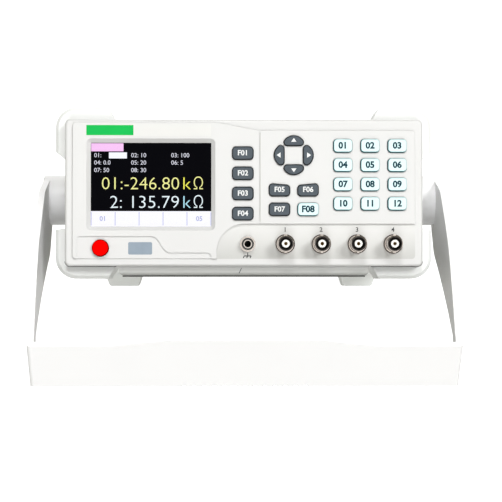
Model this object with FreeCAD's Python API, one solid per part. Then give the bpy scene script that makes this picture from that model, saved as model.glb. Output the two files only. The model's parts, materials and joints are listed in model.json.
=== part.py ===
import FreeCAD, Part
import math
import os
from functools import partial

from FreeCAD import Vector

# Bench component tester, standing on its swung-down handle.
# Every piece is drawn with the instrument level: X to the right, Y from the front
# face to the back, Z up from the handle's pivot axis. Sizes are in millimetres.
# The finished pieces are then leaned back onto the handle and the rear bumpers.

# Sheet metal case
CASE_TOP = 43.3
CASE_BOTTOM = -42.0
CASE_FRONT = 9.0
CASE_REAR = 330.0
SHEET = 1.5
COVER_FLANGE = 8.0
COVER_FLANGE_SETBACK = 12.0
REAR_FLANGE = 11.0
VENT_COUNT = 9
VENT_PITCH = 9.0
VENT_WIDTH = 3.2
VENT_LENGTH = 34.0
VENT_FIRST_Y = 196.0
VENT_CENTRE_Z = 4.0

# Moulded front bezel
BEZEL_WALL = 2.3
BEZEL_DEPTH = 12.0
BEZEL_CORNER = 3.0
RIM_STEP = 1.6
RIM_WIDTH = 4.7
RIM_EDGE = 1.8
PLATE_BACK = 3.0
PLATEAU_BOTTOM = -39.8
PLATEAU_TOP_DISPLAY = 43.6
PLATEAU_TOP_KEYS = 38.8
PLATEAU_SLOPE_LEAD = 3.55
PLATEAU_SLOPE_RUN = 25.1
PLATEAU_CORNER = 2.0
PLATEAU_BEND = 6.0
PLATEAU_EDGE = 0.5
LIP_BOTTOM = -50.0
LIP_SIDE_GAP = 1.2
LIP_WALL = 2.2
LIP_CORNER = 3.0
LIP_ROUND = 2.6
LIP_SETBACK = 4.0
GROOVE_LEAD = 3.85
GROOVE_WIDTH = 0.8
GROOVE_DEPTH = 0.5
FIT_GAP = 0.1

# Display
DISPLAY_MARGIN = 11.05
SCREEN_Z = 5.6
SCREEN_WIDTH = 73.6
SCREEN_HEIGHT = 51.2
SCREEN_CORNER = 0.6
FRAME_FLARE = 2.5
FRAME_STRAIGHT = 0.6
WINDOW_LAP = 3.0
WINDOW_THICKNESS = 1.2
MODULE_LAP = 1.8
MODULE_THICKNESS = 4.0

# Terminal recess and power strip, both sunk into the front
RECESS_DEPTH = 1.5
RECESS_TOP = -18.3
RECESS_LEAD = 19.0
RECESS_RIM = 3.6
RECESS_SWEEP = 17.0
STRIP_DEPTH = 0.9
STRIP_MARGIN = 2.7
STRIP_TOP = -26.0
STRIP_STEP_LEAD = 9.4
STRIP_TAB_RUN = 6.5
STRIP_TAB_Z = -36.0
STRIP_END_GAP = 3.2
STRIP_CURVE = 5.0
STRIP_END_CURVE = 2.5

# Keys
KEY_RISE = 1.7
KEY_GAP = 0.25
KEY_EDGE = 0.5
KEY_CORNER = 2.3
KEY_FLANGE = 0.8
KEY_FLANGE_THICKNESS = 0.9
KEY_SEAT_GAP = 0.1
KEY_TRAVEL = 1.0
KEY_STEM_SIDE = 3.0
KEY_STEM_CLEAR = 0.6
DARK_KEY_WIDTH = 12.9
DARK_KEY_HEIGHT = 8.0
SOFT_KEY_GAP = 12.8
SOFT_KEY_TOP_Z = 24.7
SOFT_KEY_PITCH = 12.3
SOFT_KEY_COUNT = 4
ACTION_GAP = 9.5
ACTION_PITCH_X = 17.4
ACTION_TOP_Z = 2.4
ACTION_PITCH_Z = 12.0
ACTION_SLANT = 1.2
ARROW_Z = 23.5
ARROW_OUTER = 12.1
ARROW_INNER = 5.7
ARROW_CROWN_RADIUS = 7.1
ARROW_CORNER = 2.2
ARROW_FLANGE = 0.45
PAD_KEY_WIDTH = 11.6
PAD_KEY_HEIGHT = 8.2
PAD_GAP = 9.05
PAD_MARGIN = 5.4
PAD_PITCH_X = 16.6
PAD_TOP_Z = 29.3
PAD_PITCH_Z = 11.8
PAD_COLUMNS = 3
PAD_ROWS = 4

# Board and mat behind the keys
MAT_GAP = 0.3
MAT_THICKNESS = 1.4
MAT_HOLE_GAP = 0.4
MAT_MARGIN = 2.2
BOARD_THICKNESS = 1.6
BOARD_MARGIN = 4.6
POST_RADIUS = 2.2

# Power button and front port
BUTTON_INSET = 14.4
BUTTON_Z = -33.2
BUTTON_RADIUS = 5.0
BUTTON_GAP = 0.3
BUTTON_RISE = 3.0
BUTTON_EDGE = 0.8
BUTTON_FLANGE = 1.4
BUTTON_FLANGE_THICKNESS = 1.4
BUTTON_STEM_RADIUS = 2.6
BUTTON_STEM_END = 13.0
BUTTON_TRAVEL = 3.0
SWITCH_WIDTH = 15.0
SWITCH_DEPTH = 18.0
SWITCH_HEIGHT = 15.0
SWITCH_GAP = 0.5
PORT_SPACING = 24.2
PORT_Z = -33.4
PORT_WIDTH = 14.6
PORT_HEIGHT = 7.6
PORT_CORNER = 0.8
PORT_FLANGE = 1.2
PORT_FLANGE_THICKNESS = 1.0
SOCKET_DEPTH = 15.0
SOCKET_INSET = 0.6

# Coaxial jacks and ground terminal
JACK_COUNT = 4
JACK_MARGIN = 13.6
JACK_PITCH = 22.0
JACK_Z = -30.7
JACK_REACH = 12.8
JACK_BARREL_RADIUS = 4.85
JACK_BORE_RADIUS = 4.1
JACK_BORE_DEPTH = 8.6
JACK_COLLAR_RADIUS = 6.0
JACK_COLLAR_LENGTH = 2.2
JACK_BODY_RADIUS = 4.6
JACK_BODY_LENGTH = 10.0
JACK_MOUTH_EDGE = 0.35
LUG_RADIUS = 1.0
LUG_RISE = 0.75
LUG_SETBACK = 4.6
INSULATOR_RADIUS = 2.35
INSULATOR_HOLE_RADIUS = 1.1
INSULATOR_SETBACK = 0.7
CONTACT_BORE_RADIUS = 0.7
CONTACT_BORE_DEPTH = 4.8
CONTACT_SETBACK = 2.4
NUT_ACROSS_FLATS = 14.0
NUT_THICKNESS = 2.6
GROUND_SPACING = 22.9
GROUND_Z = -30.8
GROUND_COLLAR_RADIUS = 4.7
GROUND_COLLAR_LENGTH = 1.6
GROUND_BARREL_RADIUS = 3.6
GROUND_REACH = 5.0
GROUND_BORE_RADIUS = 2.0
GROUND_BORE_DEPTH = 14.0
GROUND_BODY_RADIUS = 3.4
GROUND_BODY_LENGTH = 13.0

# Corner bumpers
BUMPER_SIDE_REACH = 9.3
BUMPER_TOP = 54.2
BUMPER_BOTTOM = -51.9
BUMPER_CORNER = 13.0
BUMPER_GAP = 0.8
BUMPER_FRONT_LENGTH = 38.0
BUMPER_REAR_START = 300.0
BUMPER_REAR_OVERHANG = 14.0
BUMPER_EDGE = 2.0
BUMPER_LEG_LENGTH = 38.5
BUMPER_LEG_BEVEL = 6.0
BUMPER_WEB = 2.3
BUMPER_NOTCH_TOP = 20.8
BUMPER_NOTCH_BOTTOM = -20.8
BUMPER_NOTCH_RISE = 5.7
BUMPER_NOTCH_FALL = 0.8

# Feet under the case
FOOT_FRONT_X = 83.0
FOOT_REAR_X = 88.3
FOOT_FRONT_Y = 178.0
FOOT_REAR_LEAD = 34.0
FOOT_FRONT_WIDTH = 30.0
FOOT_REAR_WIDTH = 26.0
FOOT_DEPTH = 24.0
FOOT_TAPER = 5.0
FOOT_BOTTOM = -56.8
FOOT_ROUND = 2.0
FOOT_WALL = 2.4

# Handle and its pivots
PIVOT_Y = 85.0
HANDLE_STAND_ANGLE = 50.0
HANDLE_LENGTH = 161.8
HANDLE_MID_DROP = 80.0
ARM_TOP_INSET = 0.6
ARM_MID_INSET = 1.0
ARM_END_INSET = 3.9
ARM_THICKNESS = 4.0
ARM_FRONT_SHOULDER = 27.5
ARM_REAR_SHOULDER = 24.0
ARM_SHOULDER_DROP = 26.0
ARM_SHOULDER_ROUND = 22.0
ARM_TAPER_DROP = 84.0
ARM_TAPER_ROUND = 90.0
ARM_TAPER_END = 12.0
ARM_WAIST = 8.0
ARM_WAIST_RISE = 16.0
ARM_WAIST_ROUND = 9.0
GRIP_HALF_DEPTH = 16.5
GRIP_THICKNESS = 4.0
GRIP_SWELL = 4.4
GRIP_SWELL_HALF_FLAT = 46.0
GRIP_SWELL_HALF_LENGTH = 78.0
GRIP_SWELL_END = 6.0
GRIP_SWELL_ROUND = 40.0
GRIP_CORNER = 2.5
FOOT_LAND_CUT = 1.2
RIB_COUNT = 13
RIB_PITCH = 6.0
RIB_GROOVE_WIDTH = 2.2
RIB_GROOVE_REACH = 3.4
RIB_GROOVE_DEPTH = 0.9
HUB_RADIUS = 16.3
HUB_WIDTH = 17.6
HUB_EDGE = 1.2
HUB_SIDE_GAP = 0.3
BOSS_THICKNESS = 5.7
SHAFT_RADIUS = 7.0
SHAFT_GAP = 0.05
SHAFT_LENGTH = 10.6
HUB_WEB_GAP = 0.4
CAP_RADIUS = 12.0
CAP_THICKNESS = 2.0
SCREW_HEAD_RADIUS = 10.5
SCREW_HEAD_THICKNESS = 2.6
PIVOT_SHANK_RADIUS = 3.0
PIVOT_SHANK_LENGTH = 11.0

# Inside the case
STANDOFF_RADIUS = 3.0
STANDOFF_HEIGHT = 6.0
MAIN_BOARD_FRONT = 40.0
MAIN_BOARD_REAR = 230.0
MAIN_BOARD_SIDE_GAP = 6.0
STANDOFF_INSET = 8.0
CORE_WIDTH = 66.0
CORE_DEPTH = 34.0
CORE_HEIGHT = 56.0
COIL_OVERHANG = 10.0
COIL_WIDTH = 40.0
COIL_INSET_Z = 10.0
COIL_CORNER = 2.3
CORE_INSET = 55.0
CORE_REAR_GAP = 36.0

# Rear panel fittings
INLET_INSET = 39.0
INLET_Z = -14.0
INLET_WIDTH = 27.0
INLET_HEIGHT = 20.0
INLET_DEPTH = 18.0
INLET_WALL = 1.4
INLET_CORNER = 3.0
INLET_FLANGE_WIDTH = 48.0
INLET_FLANGE_HEIGHT = 24.0
INLET_FLANGE_THICKNESS = 2.6
PIN_WIDTH = 2.0
PIN_HEIGHT = 4.0
PIN_SPREAD = 7.0
PIN_OFFSET_Z = 2.0
PIN_TIP_SETBACK = 2.5
FUSE_SPACING = 46.0
FUSE_Z = -14.0
FUSE_FLANGE_RADIUS = 8.0
FUSE_FLANGE_LENGTH = 4.0
FUSE_CAP_RADIUS = 6.2
FUSE_CAP_LENGTH = 9.0
FUSE_BODY_RADIUS = 6.0
FUSE_BODY_LENGTH = 28.0
SERIAL_INSET = 52.0
SERIAL_Z = -14.0
SERIAL_FLANGE_WIDTH = 30.8
SERIAL_FLANGE_HEIGHT = 12.5
SERIAL_FLANGE_THICKNESS = 1.2
SERIAL_FLANGE_CORNER = 0.8
SERIAL_WIDTH_TOP = 17.0
SERIAL_WIDTH_BOTTOM = 14.4
SERIAL_HEIGHT = 8.4
SERIAL_CORNER = 2.1
SERIAL_REACH = 6.0
SERIAL_BODY_DEPTH = 11.0
SCREW_INSET_X = 5.5
SCREW_INSET_Z = 9.0
REAR_SCREW_RADIUS = 2.8
REAR_SCREW_HEAD = 1.8
REAR_SHANK_RADIUS = 1.4
REAR_SHANK_LENGTH = 6.0

# Places that follow from the sizes above
ACTION_WIDTH = ACTION_PITCH_X + DARK_KEY_WIDTH
PAD_WIDTH = (PAD_COLUMNS - 1) * PAD_PITCH_X + PAD_KEY_WIDTH
DISPLAY_SHARE = DISPLAY_MARGIN + SCREEN_WIDTH + SOFT_KEY_GAP
KEYS_SHARE = DARK_KEY_WIDTH + ACTION_GAP + ACTION_WIDTH + PAD_GAP + PAD_WIDTH + PAD_MARGIN
PLATEAU_HALF_WIDTH = (DISPLAY_SHARE + KEYS_SHARE) / 2
BEZEL_HALF_WIDTH = PLATEAU_HALF_WIDTH + RIM_WIDTH
CASE_HALF_WIDTH = BEZEL_HALF_WIDTH - BEZEL_WALL - FIT_GAP
BEZEL_TOP = CASE_TOP + BEZEL_WALL
BEZEL_BOTTOM = CASE_BOTTOM - BEZEL_WALL
SCREEN_LEFT = DISPLAY_MARGIN - PLATEAU_HALF_WIDTH
SCREEN_RIGHT = SCREEN_LEFT + SCREEN_WIDTH
SCREEN_X = (SCREEN_LEFT + SCREEN_RIGHT) / 2
PLATEAU_SLOPE_LEFT = SCREEN_RIGHT + PLATEAU_SLOPE_LEAD
PLATEAU_SLOPE_RIGHT = PLATEAU_SLOPE_LEFT + PLATEAU_SLOPE_RUN
SOFT_KEY_X = SCREEN_RIGHT + SOFT_KEY_GAP + DARK_KEY_WIDTH / 2
GROOVE_X = SOFT_KEY_X + DARK_KEY_WIDTH / 2 + GROOVE_LEAD
ACTION_LEFT_X = SOFT_KEY_X + DARK_KEY_WIDTH + ACTION_GAP
ARROW_X = ACTION_LEFT_X + ACTION_PITCH_X / 2
PAD_LEFT_X = PLATEAU_HALF_WIDTH - PAD_MARGIN - PAD_WIDTH + PAD_KEY_WIDTH / 2
JACK_FIRST_X = PLATEAU_HALF_WIDTH - JACK_MARGIN - (JACK_COUNT - 1) * JACK_PITCH
GROUND_X = JACK_FIRST_X - GROUND_SPACING
RECESS_LEFT = GROUND_X - RECESS_LEAD
RECESS_RIGHT = BEZEL_HALF_WIDTH - RECESS_RIM
STRIP_LEFT = STRIP_MARGIN - PLATEAU_HALF_WIDTH
BUTTON_X = STRIP_LEFT + BUTTON_INSET
PORT_X = BUTTON_X + PORT_SPACING
STRIP_STEP_X = PORT_X + STRIP_STEP_LEAD
STRIP_TAB_X = STRIP_STEP_X + STRIP_TAB_RUN
STRIP_RIGHT = RECESS_LEFT - STRIP_END_GAP
CASE_FLOOR = CASE_BOTTOM + SHEET
COVER_UNDERSIDE = CASE_TOP - SHEET
KEY_FLANGE_FRONT = PLATE_BACK + KEY_SEAT_GAP
KEY_FLANGE_BACK = KEY_FLANGE_FRONT + KEY_FLANGE_THICKNESS
MAT_FRONT = KEY_FLANGE_BACK + KEY_TRAVEL + MAT_GAP
BOARD_FRONT = MAT_FRONT + MAT_THICKNESS
KEY_STEM_END = BOARD_FRONT - KEY_TRAVEL - MAT_GAP
WINDOW_FRONT = PLATE_BACK
MODULE_FRONT = WINDOW_FRONT + WINDOW_THICKNESS
BUMPER_HALF_WIDTH = CASE_HALF_WIDTH + BUMPER_SIDE_REACH
BUMPER_LEG_ROOT = BUMPER_HALF_WIDTH - BUMPER_LEG_LENGTH
BUMPER_LEG_TIP = BUMPER_LEG_ROOT + BUMPER_LEG_BEVEL
LIP_HALF_WIDTH = BUMPER_LEG_ROOT - LIP_SIDE_GAP
BUMPER_FRONT_START = BEZEL_DEPTH + BUMPER_GAP
BUMPER_REAR_END = CASE_REAR + BUMPER_REAR_OVERHANG
FOOT_REAR_Y = BUMPER_REAR_START - FOOT_REAR_LEAD
PANEL_FRONT = CASE_REAR - SHEET
INLET_X = INLET_INSET - CASE_HALF_WIDTH
FUSE_X = INLET_X + FUSE_SPACING
SERIAL_X = CASE_HALF_WIDTH - SERIAL_INSET
CORE_X = CORE_INSET - CASE_HALF_WIDTH
HUB_INNER_X = CASE_HALF_WIDTH + BOSS_THICKNESS + HUB_SIDE_GAP
SHAFT_END_X = CASE_HALF_WIDTH + BOSS_THICKNESS + SHAFT_LENGTH
HUB_WEB_X = SHAFT_END_X - HUB_WEB_GAP
HUB_OUTER_X = HUB_INNER_X + HUB_WIDTH
HANDLE_HALF_WIDTH_TOP = HUB_OUTER_X - ARM_TOP_INSET
HANDLE_HALF_WIDTH_MID = HUB_OUTER_X - ARM_MID_INSET
HANDLE_HALF_WIDTH_END = HUB_OUTER_X - ARM_END_INSET


def stand_tilt():
    """Angle, in degrees, at which the handle foot and the rear bumpers both touch the table."""
    swing = math.radians(HANDLE_STAND_ANGLE)
    drop = HANDLE_LENGTH * math.cos(swing) + GRIP_HALF_DEPTH * math.sin(swing) + BUMPER_BOTTOM
    rear = BUMPER_REAR_END - BUMPER_EDGE - PIVOT_Y
    reach = rear + HANDLE_LENGTH * math.sin(swing) - GRIP_HALF_DEPTH * math.cos(swing)
    return math.degrees(math.acos(FOOT_LAND_CUT / math.hypot(drop, reach)) - math.atan2(reach, drop))


def on_front(a, b):
    return Vector(a, 0, b)


def on_side(a, b):
    return Vector(0, a, b)


def on_top(a, b):
    return Vector(a, b, 0)


def rounded_outline(corners, plane):
    """Closed wire through (a, b, radius) corners, with a tangent arc at each rounded one."""
    arcs = []
    count = len(corners)
    for index in range(count):
        a, b, radius = corners[index]
        here = plane(a, b)
        before = plane(*corners[index - 1][:2])
        after = plane(*corners[(index + 1) % count][:2])
        to_before = (before - here).normalize()
        to_after = (after - here).normalize()
        if radius == 0:
            arcs.append((here, None, here))
            continue
        half_angle = to_before.getAngle(to_after) / 2
        bisector = (to_before + to_after).normalize()
        setback = radius / math.tan(half_angle)
        middle = here + bisector * (radius / math.sin(half_angle) - radius)
        arcs.append((here + to_before * setback, middle, here + to_after * setback))
    edges = []
    for index in range(count):
        start, middle, end = arcs[index]
        next_start = arcs[(index + 1) % count][0]
        if middle is not None:
            edges.append(Part.Arc(start, middle, end).toShape())
        if end.distanceToPoint(next_start) > 1e-6:
            edges.append(Part.LineSegment(end, next_start).toShape())
    return Part.Wire(edges)


def rectangle(x, z, width, height, radius):
    """Corner list of an upright rectangle on the front, centred on x, z."""
    left = x - width / 2
    right = x + width / 2
    low = z - height / 2
    high = z + height / 2
    return [(left, low, radius), (right, low, radius), (right, high, radius), (left, high, radius)]


def slab(outline, y_front, y_back):
    """Solid with a front-view outline, a wire or its corners, from one depth to another."""
    wire = outline if isinstance(outline, Part.Wire) else rounded_outline(outline, on_front)
    face = Part.Face(wire)
    face.translate(Vector(0, y_front, 0))
    return face.extrude(Vector(0, y_back - y_front, 0))


def rod(x, z, radius, y_front, y_back):
    """Round bar along the depth of the instrument."""
    return Part.makeCylinder(radius, y_back - y_front, Vector(x, y_front, z), Vector(0, 1, 0))


def disc(x_inner, x_outer, radius):
    """Round bar along the pivot axis, right-hand side."""
    return Part.makeCylinder(radius, x_outer - x_inner, Vector(x_inner, PIVOT_Y, 0), Vector(1, 0, 0))


def block(x0, x1, y0, y1, z0, z1):
    return Part.makeBox(x1 - x0, y1 - y0, z1 - z0, Vector(x0, y0, z0))


def mirrored(shape):
    """The left-hand twin of a right-hand piece."""
    return shape.mirror(Vector(0, 0, 0), Vector(1, 0, 0))


def edges_at_depth(shape, y):
    flat = []
    for edge in shape.Edges:
        box = edge.BoundBox
        if abs(box.YMin - y) < 1e-4 and abs(box.YMax - y) < 1e-4:
            flat.append(edge)
    return flat


def grown(corners, margin):
    """Rectangle-like outline pushed outwards by a margin, with its rounding kept concentric."""
    centre_x = sum(corner[0] for corner in corners) / len(corners)
    centre_z = sum(corner[1] for corner in corners) / len(corners)
    result = []
    for x, z, radius in corners:
        new_x = x + math.copysign(margin, x - centre_x)
        new_z = z + math.copysign(margin, z - centre_z)
        result.append((new_x, new_z, radius + margin))
    return result


def arrow_outline(turn, margin):
    """D-shaped arrow key: flat towards the ring's centre, rounded outside, at a quarter turn."""
    inner = ARROW_INNER - margin
    crown = ARROW_CROWN_RADIUS + margin
    corner = ARROW_CORNER + margin
    crown_z = ARROW_OUTER - ARROW_CROWN_RADIUS
    corner_z = ARROW_INNER + ARROW_CORNER
    reach = ARROW_CROWN_RADIUS - ARROW_CORNER
    corner_x = math.sqrt(reach ** 2 - (corner_z - crown_z) ** 2)
    meet_angle = math.atan2(corner_z - crown_z, corner_x)
    turn_angle = (meet_angle - math.pi / 2) / 2
    meet = on_front(crown * math.cos(meet_angle), crown_z + crown * math.sin(meet_angle))
    bend = on_front(corner_x + corner * math.cos(turn_angle), corner_z + corner * math.sin(turn_angle))
    foot = on_front(corner_x, inner)
    top = on_front(0, crown_z + crown)
    edges = [Part.Arc(foot, bend, meet).toShape()]
    left = [Vector(-point.x, point.y, point.z) for point in (foot, bend, meet)]
    edges.append(Part.Arc(meet, top, left[2]).toShape())
    edges.append(Part.Arc(left[2], left[1], left[0]).toShape())
    edges.append(Part.LineSegment(left[0], foot).toShape())
    wire = Part.Wire(edges)
    wire.rotate(Vector(0, 0, 0), Vector(0, 1, 0), -90 * turn)
    wire.translate(on_front(ARROW_X, ARROW_Z))
    return wire


def action_outline(x, z, slant, margin):
    """Action key; slant lowers its upper inner corner so that it follows the arrow ring."""
    corners = grown(rectangle(x, z, DARK_KEY_WIDTH, DARK_KEY_HEIGHT, KEY_CORNER), margin)
    if slant:
        lowered = 2 if slant > 0 else 3
        corner_x, corner_z, radius = corners[lowered]
        corners[lowered] = (corner_x, corner_z - ACTION_SLANT, radius)
    return corners


def flange_outline(x, z, width, height):
    """Plain rectangle of a key's flange, hidden behind the bezel."""
    return rectangle(x, z, width + 2 * KEY_FLANGE, height + 2 * KEY_FLANGE, 0)


def key_plan():
    """Each key's name, place, flange outline and a function giving its outline with a margin."""
    plan = []
    for index in range(SOFT_KEY_COUNT):
        z = SOFT_KEY_TOP_Z - index * SOFT_KEY_PITCH
        base = rectangle(SOFT_KEY_X, z, DARK_KEY_WIDTH, DARK_KEY_HEIGHT, KEY_CORNER)
        flange = flange_outline(SOFT_KEY_X, z, DARK_KEY_WIDTH, DARK_KEY_HEIGHT)
        plan.append((f"soft_key_{index + 1}", SOFT_KEY_X, z, flange, partial(grown, base)))
    arrow_middle = (ARROW_INNER + ARROW_OUTER) / 2
    for turn, side in enumerate(["up", "left", "down", "right"]):
        x = ARROW_X - arrow_middle * math.sin(math.radians(90 * turn))
        z = ARROW_Z + arrow_middle * math.cos(math.radians(90 * turn))
        outline = partial(arrow_outline, turn)
        plan.append((f"arrow_key_{side}", x, z, outline(ARROW_FLANGE), outline))
    for row in range(2):
        for column in range(2):
            x = ACTION_LEFT_X + column * ACTION_PITCH_X
            z = ACTION_TOP_Z - row * ACTION_PITCH_Z
            slant = (1 - 2 * column) * (1 - row)
            name = f"action_key_{2 * row + column + 1}"
            flange = flange_outline(x, z, DARK_KEY_WIDTH, DARK_KEY_HEIGHT)
            plan.append((name, x, z, flange, partial(action_outline, x, z, slant)))
    for row in range(PAD_ROWS):
        for column in range(PAD_COLUMNS):
            x = PAD_LEFT_X + column * PAD_PITCH_X
            z = PAD_TOP_Z - row * PAD_PITCH_Z
            base = rectangle(x, z, PAD_KEY_WIDTH, PAD_KEY_HEIGHT, KEY_CORNER)
            name = f"pad_key_{PAD_COLUMNS * row + column + 1}"
            flange = flange_outline(x, z, PAD_KEY_WIDTH, PAD_KEY_HEIGHT)
            plan.append((name, x, z, flange, partial(grown, base)))
    return plan


def stem_outline(x, z, margin):
    side = KEY_STEM_SIDE + 2 * margin
    return rectangle(x, z, side, side, 0)


def make_key(x, z, flange, outline):
    """Key cap with a bevelled front edge, a flange behind the bezel and a stem over the board."""
    cap = slab(outline(0), -KEY_RISE, KEY_FLANGE_BACK)
    cap = cap.makeChamfer(KEY_EDGE, edges_at_depth(cap, -KEY_RISE))
    flange = slab(flange, KEY_FLANGE_FRONT, KEY_FLANGE_BACK)
    stem = slab(stem_outline(x, z, 0), KEY_FLANGE_BACK - KEY_STEM_CLEAR, KEY_STEM_END)
    return cap.fuse([flange, stem]).removeSplitter()


def jack_places():
    return [JACK_FIRST_X + index * JACK_PITCH for index in range(JACK_COUNT)]


def key_field():
    """Left, right, low and high limits of all keys' flanges."""
    boxes = [slab(flange, 0, KEY_FLANGE_THICKNESS).BoundBox for _, _, _, flange, _ in key_plan()]
    left = min(box.XMin for box in boxes)
    right = max(box.XMax for box in boxes)
    low = min(box.ZMin for box in boxes)
    high = max(box.ZMax for box in boxes)
    return left, right, low, high


def field_rectangle(margin):
    left, right, low, high = key_field()
    centre_x = (left + right) / 2
    centre_z = (low + high) / 2
    return rectangle(centre_x, centre_z, right - left + 2 * margin, high - low + 2 * margin, 0)


def lower_edge_cut(left, right, face_y):
    """Space in front of the rounded lower edge of a sunken face."""
    above = PLATEAU_BOTTOM + PLATEAU_CORNER
    profile = [
        (-PLATE_BACK, above, 0),
        (face_y, above, 0),
        (face_y, PLATEAU_BOTTOM, PLATEAU_EDGE),
        (RIM_STEP, PLATEAU_BOTTOM, 0),
        (RIM_STEP, LIP_BOTTOM, 0),
        (-PLATE_BACK, LIP_BOTTOM, 0),
    ]
    face = Part.Face(rounded_outline(profile, on_side))
    face.translate(Vector(left, 0, 0))
    return face.extrude(Vector(right - left, 0, 0))


def make_lip():
    """Skirt set back under the rim, between the two lower bumpers."""
    high = BEZEL_BOTTOM + BEZEL_WALL / 2
    front_y = RIM_STEP + LIP_SETBACK
    inner_y = front_y + LIP_WALL
    profile = [
        (front_y, high, 0),
        (front_y, LIP_BOTTOM, LIP_ROUND),
        (BEZEL_DEPTH, LIP_BOTTOM, 0),
        (BEZEL_DEPTH, LIP_BOTTOM + LIP_WALL, 0),
        (inner_y, LIP_BOTTOM + LIP_WALL, LIP_ROUND - LIP_WALL),
        (inner_y, high, 0),
    ]
    face = Part.Face(rounded_outline(profile, on_side))
    face.translate(Vector(-LIP_HALF_WIDTH, 0, 0))
    skirt = face.extrude(Vector(2 * LIP_HALF_WIDTH, 0, 0))
    frame = [
        (-LIP_HALF_WIDTH, LIP_BOTTOM, LIP_CORNER),
        (LIP_HALF_WIDTH, LIP_BOTTOM, LIP_CORNER),
        (LIP_HALF_WIDTH, high, 0),
        (-LIP_HALF_WIDTH, high, 0),
    ]
    return skirt.common(slab(frame, 0, BEZEL_DEPTH))


def make_front_bezel(keys):
    """Moulded front: stepped rim, raised face, recesses, display frame, key holes and posts."""
    rim_z = (BEZEL_TOP + BEZEL_BOTTOM) / 2
    rim_height = BEZEL_TOP - BEZEL_BOTTOM
    rim = slab(rectangle(0, rim_z, 2 * BEZEL_HALF_WIDTH, rim_height, BEZEL_CORNER), RIM_STEP, BEZEL_DEPTH)
    rim = rim.makeFillet(RIM_EDGE, edges_at_depth(rim, RIM_STEP))
    hollow_width = 2 * (CASE_HALF_WIDTH + FIT_GAP)
    hollow_height = CASE_TOP - CASE_BOTTOM + 2 * FIT_GAP
    hollow = slab(rectangle(0, rim_z, hollow_width, hollow_height, 0), PLATE_BACK, BEZEL_DEPTH)
    plateau = slab(
        [
            (-PLATEAU_HALF_WIDTH, PLATEAU_BOTTOM, PLATEAU_CORNER),
            (PLATEAU_HALF_WIDTH, PLATEAU_BOTTOM, PLATEAU_CORNER),
            (PLATEAU_HALF_WIDTH, PLATEAU_TOP_KEYS, PLATEAU_CORNER),
            (PLATEAU_SLOPE_RIGHT, PLATEAU_TOP_KEYS, PLATEAU_BEND),
            (PLATEAU_SLOPE_LEFT, PLATEAU_TOP_DISPLAY, PLATEAU_BEND),
            (-PLATEAU_HALF_WIDTH, PLATEAU_TOP_DISPLAY, PLATEAU_CORNER),
        ],
        0,
        PLATE_BACK,
    )
    plateau = plateau.makeFillet(PLATEAU_EDGE, edges_at_depth(plateau, 0))
    shell = rim.cut(hollow)
    shell = shell.fuse([plateau, make_lip()])

    recess = slab(
        [
            (RECESS_LEFT, LIP_BOTTOM, 0),
            (RECESS_RIGHT, LIP_BOTTOM, 0),
            (RECESS_RIGHT, RECESS_TOP, PLATEAU_CORNER),
            (RECESS_LEFT, RECESS_TOP, RECESS_SWEEP),
        ],
        -PLATE_BACK,
        RECESS_DEPTH,
    )
    strip = slab(
        [
            (STRIP_LEFT, LIP_BOTTOM, 0),
            (STRIP_RIGHT, LIP_BOTTOM, 0),
            (STRIP_RIGHT, STRIP_TAB_Z, STRIP_END_CURVE),
            (STRIP_TAB_X, STRIP_TAB_Z, STRIP_CURVE),
            (STRIP_STEP_X, STRIP_TOP, STRIP_CURVE),
            (STRIP_LEFT, STRIP_TOP, PLATEAU_CORNER),
        ],
        -PLATE_BACK,
        STRIP_DEPTH,
    )
    groove_height = PLATEAU_TOP_KEYS - RECESS_TOP
    groove_z = (PLATEAU_TOP_KEYS + RECESS_TOP) / 2
    groove = slab(rectangle(GROOVE_X, groove_z, GROOVE_WIDTH, groove_height, 0), -PLATE_BACK, GROOVE_DEPTH)

    screen = rectangle(SCREEN_X, SCREEN_Z, SCREEN_WIDTH, SCREEN_HEIGHT, SCREEN_CORNER)
    opening = slab(screen, -PLATE_BACK, PLATE_BACK)
    front_wire = rounded_outline(grown(screen, FRAME_FLARE), on_front)
    back_wire = rounded_outline(screen, on_front)
    back_wire.translate(Vector(0, PLATE_BACK - FRAME_STRAIGHT, 0))
    flare = Part.makeLoft([front_wire, back_wire], True, True)

    cuts = [recess, strip, groove, opening, flare]
    cuts.append(lower_edge_cut(STRIP_LEFT, STRIP_RIGHT, STRIP_DEPTH))
    cuts += [slab(outline(KEY_GAP), -PLATE_BACK, PLATE_BACK) for _, _, _, _, outline in keys]
    cuts += [rod(x, JACK_Z, JACK_BODY_RADIUS, -PLATE_BACK, PLATE_BACK) for x in jack_places()]
    cuts.append(rod(GROUND_X, GROUND_Z, GROUND_BODY_RADIUS, -PLATE_BACK, PLATE_BACK))
    cuts.append(rod(BUTTON_X, BUTTON_Z, BUTTON_RADIUS + BUTTON_GAP, -PLATE_BACK, PLATE_BACK))
    port = rectangle(PORT_X, PORT_Z, PORT_WIDTH, PORT_HEIGHT, PORT_CORNER)
    cuts.append(slab(port, -PLATE_BACK, PLATE_BACK))
    shell = shell.cut(cuts)

    corners = field_rectangle((MAT_MARGIN + BOARD_MARGIN) / 2)
    posts = [rod(x, z, POST_RADIUS, PLATE_BACK, BOARD_FRONT) for x, z, _ in corners]
    return shell.fuse(posts).removeSplitter()


def make_key_mat(keys):
    """Rubber mat with a clear hole for each key stem."""
    mat = slab(field_rectangle(MAT_MARGIN - POST_RADIUS), MAT_FRONT, BOARD_FRONT)
    holes = [slab(stem_outline(x, z, MAT_HOLE_GAP), MAT_FRONT, BOARD_FRONT) for _, x, z, _, _ in keys]
    return mat.cut(holes)


def make_key_board():
    return slab(field_rectangle(BOARD_MARGIN), BOARD_FRONT, BOARD_FRONT + BOARD_THICKNESS)


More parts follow.
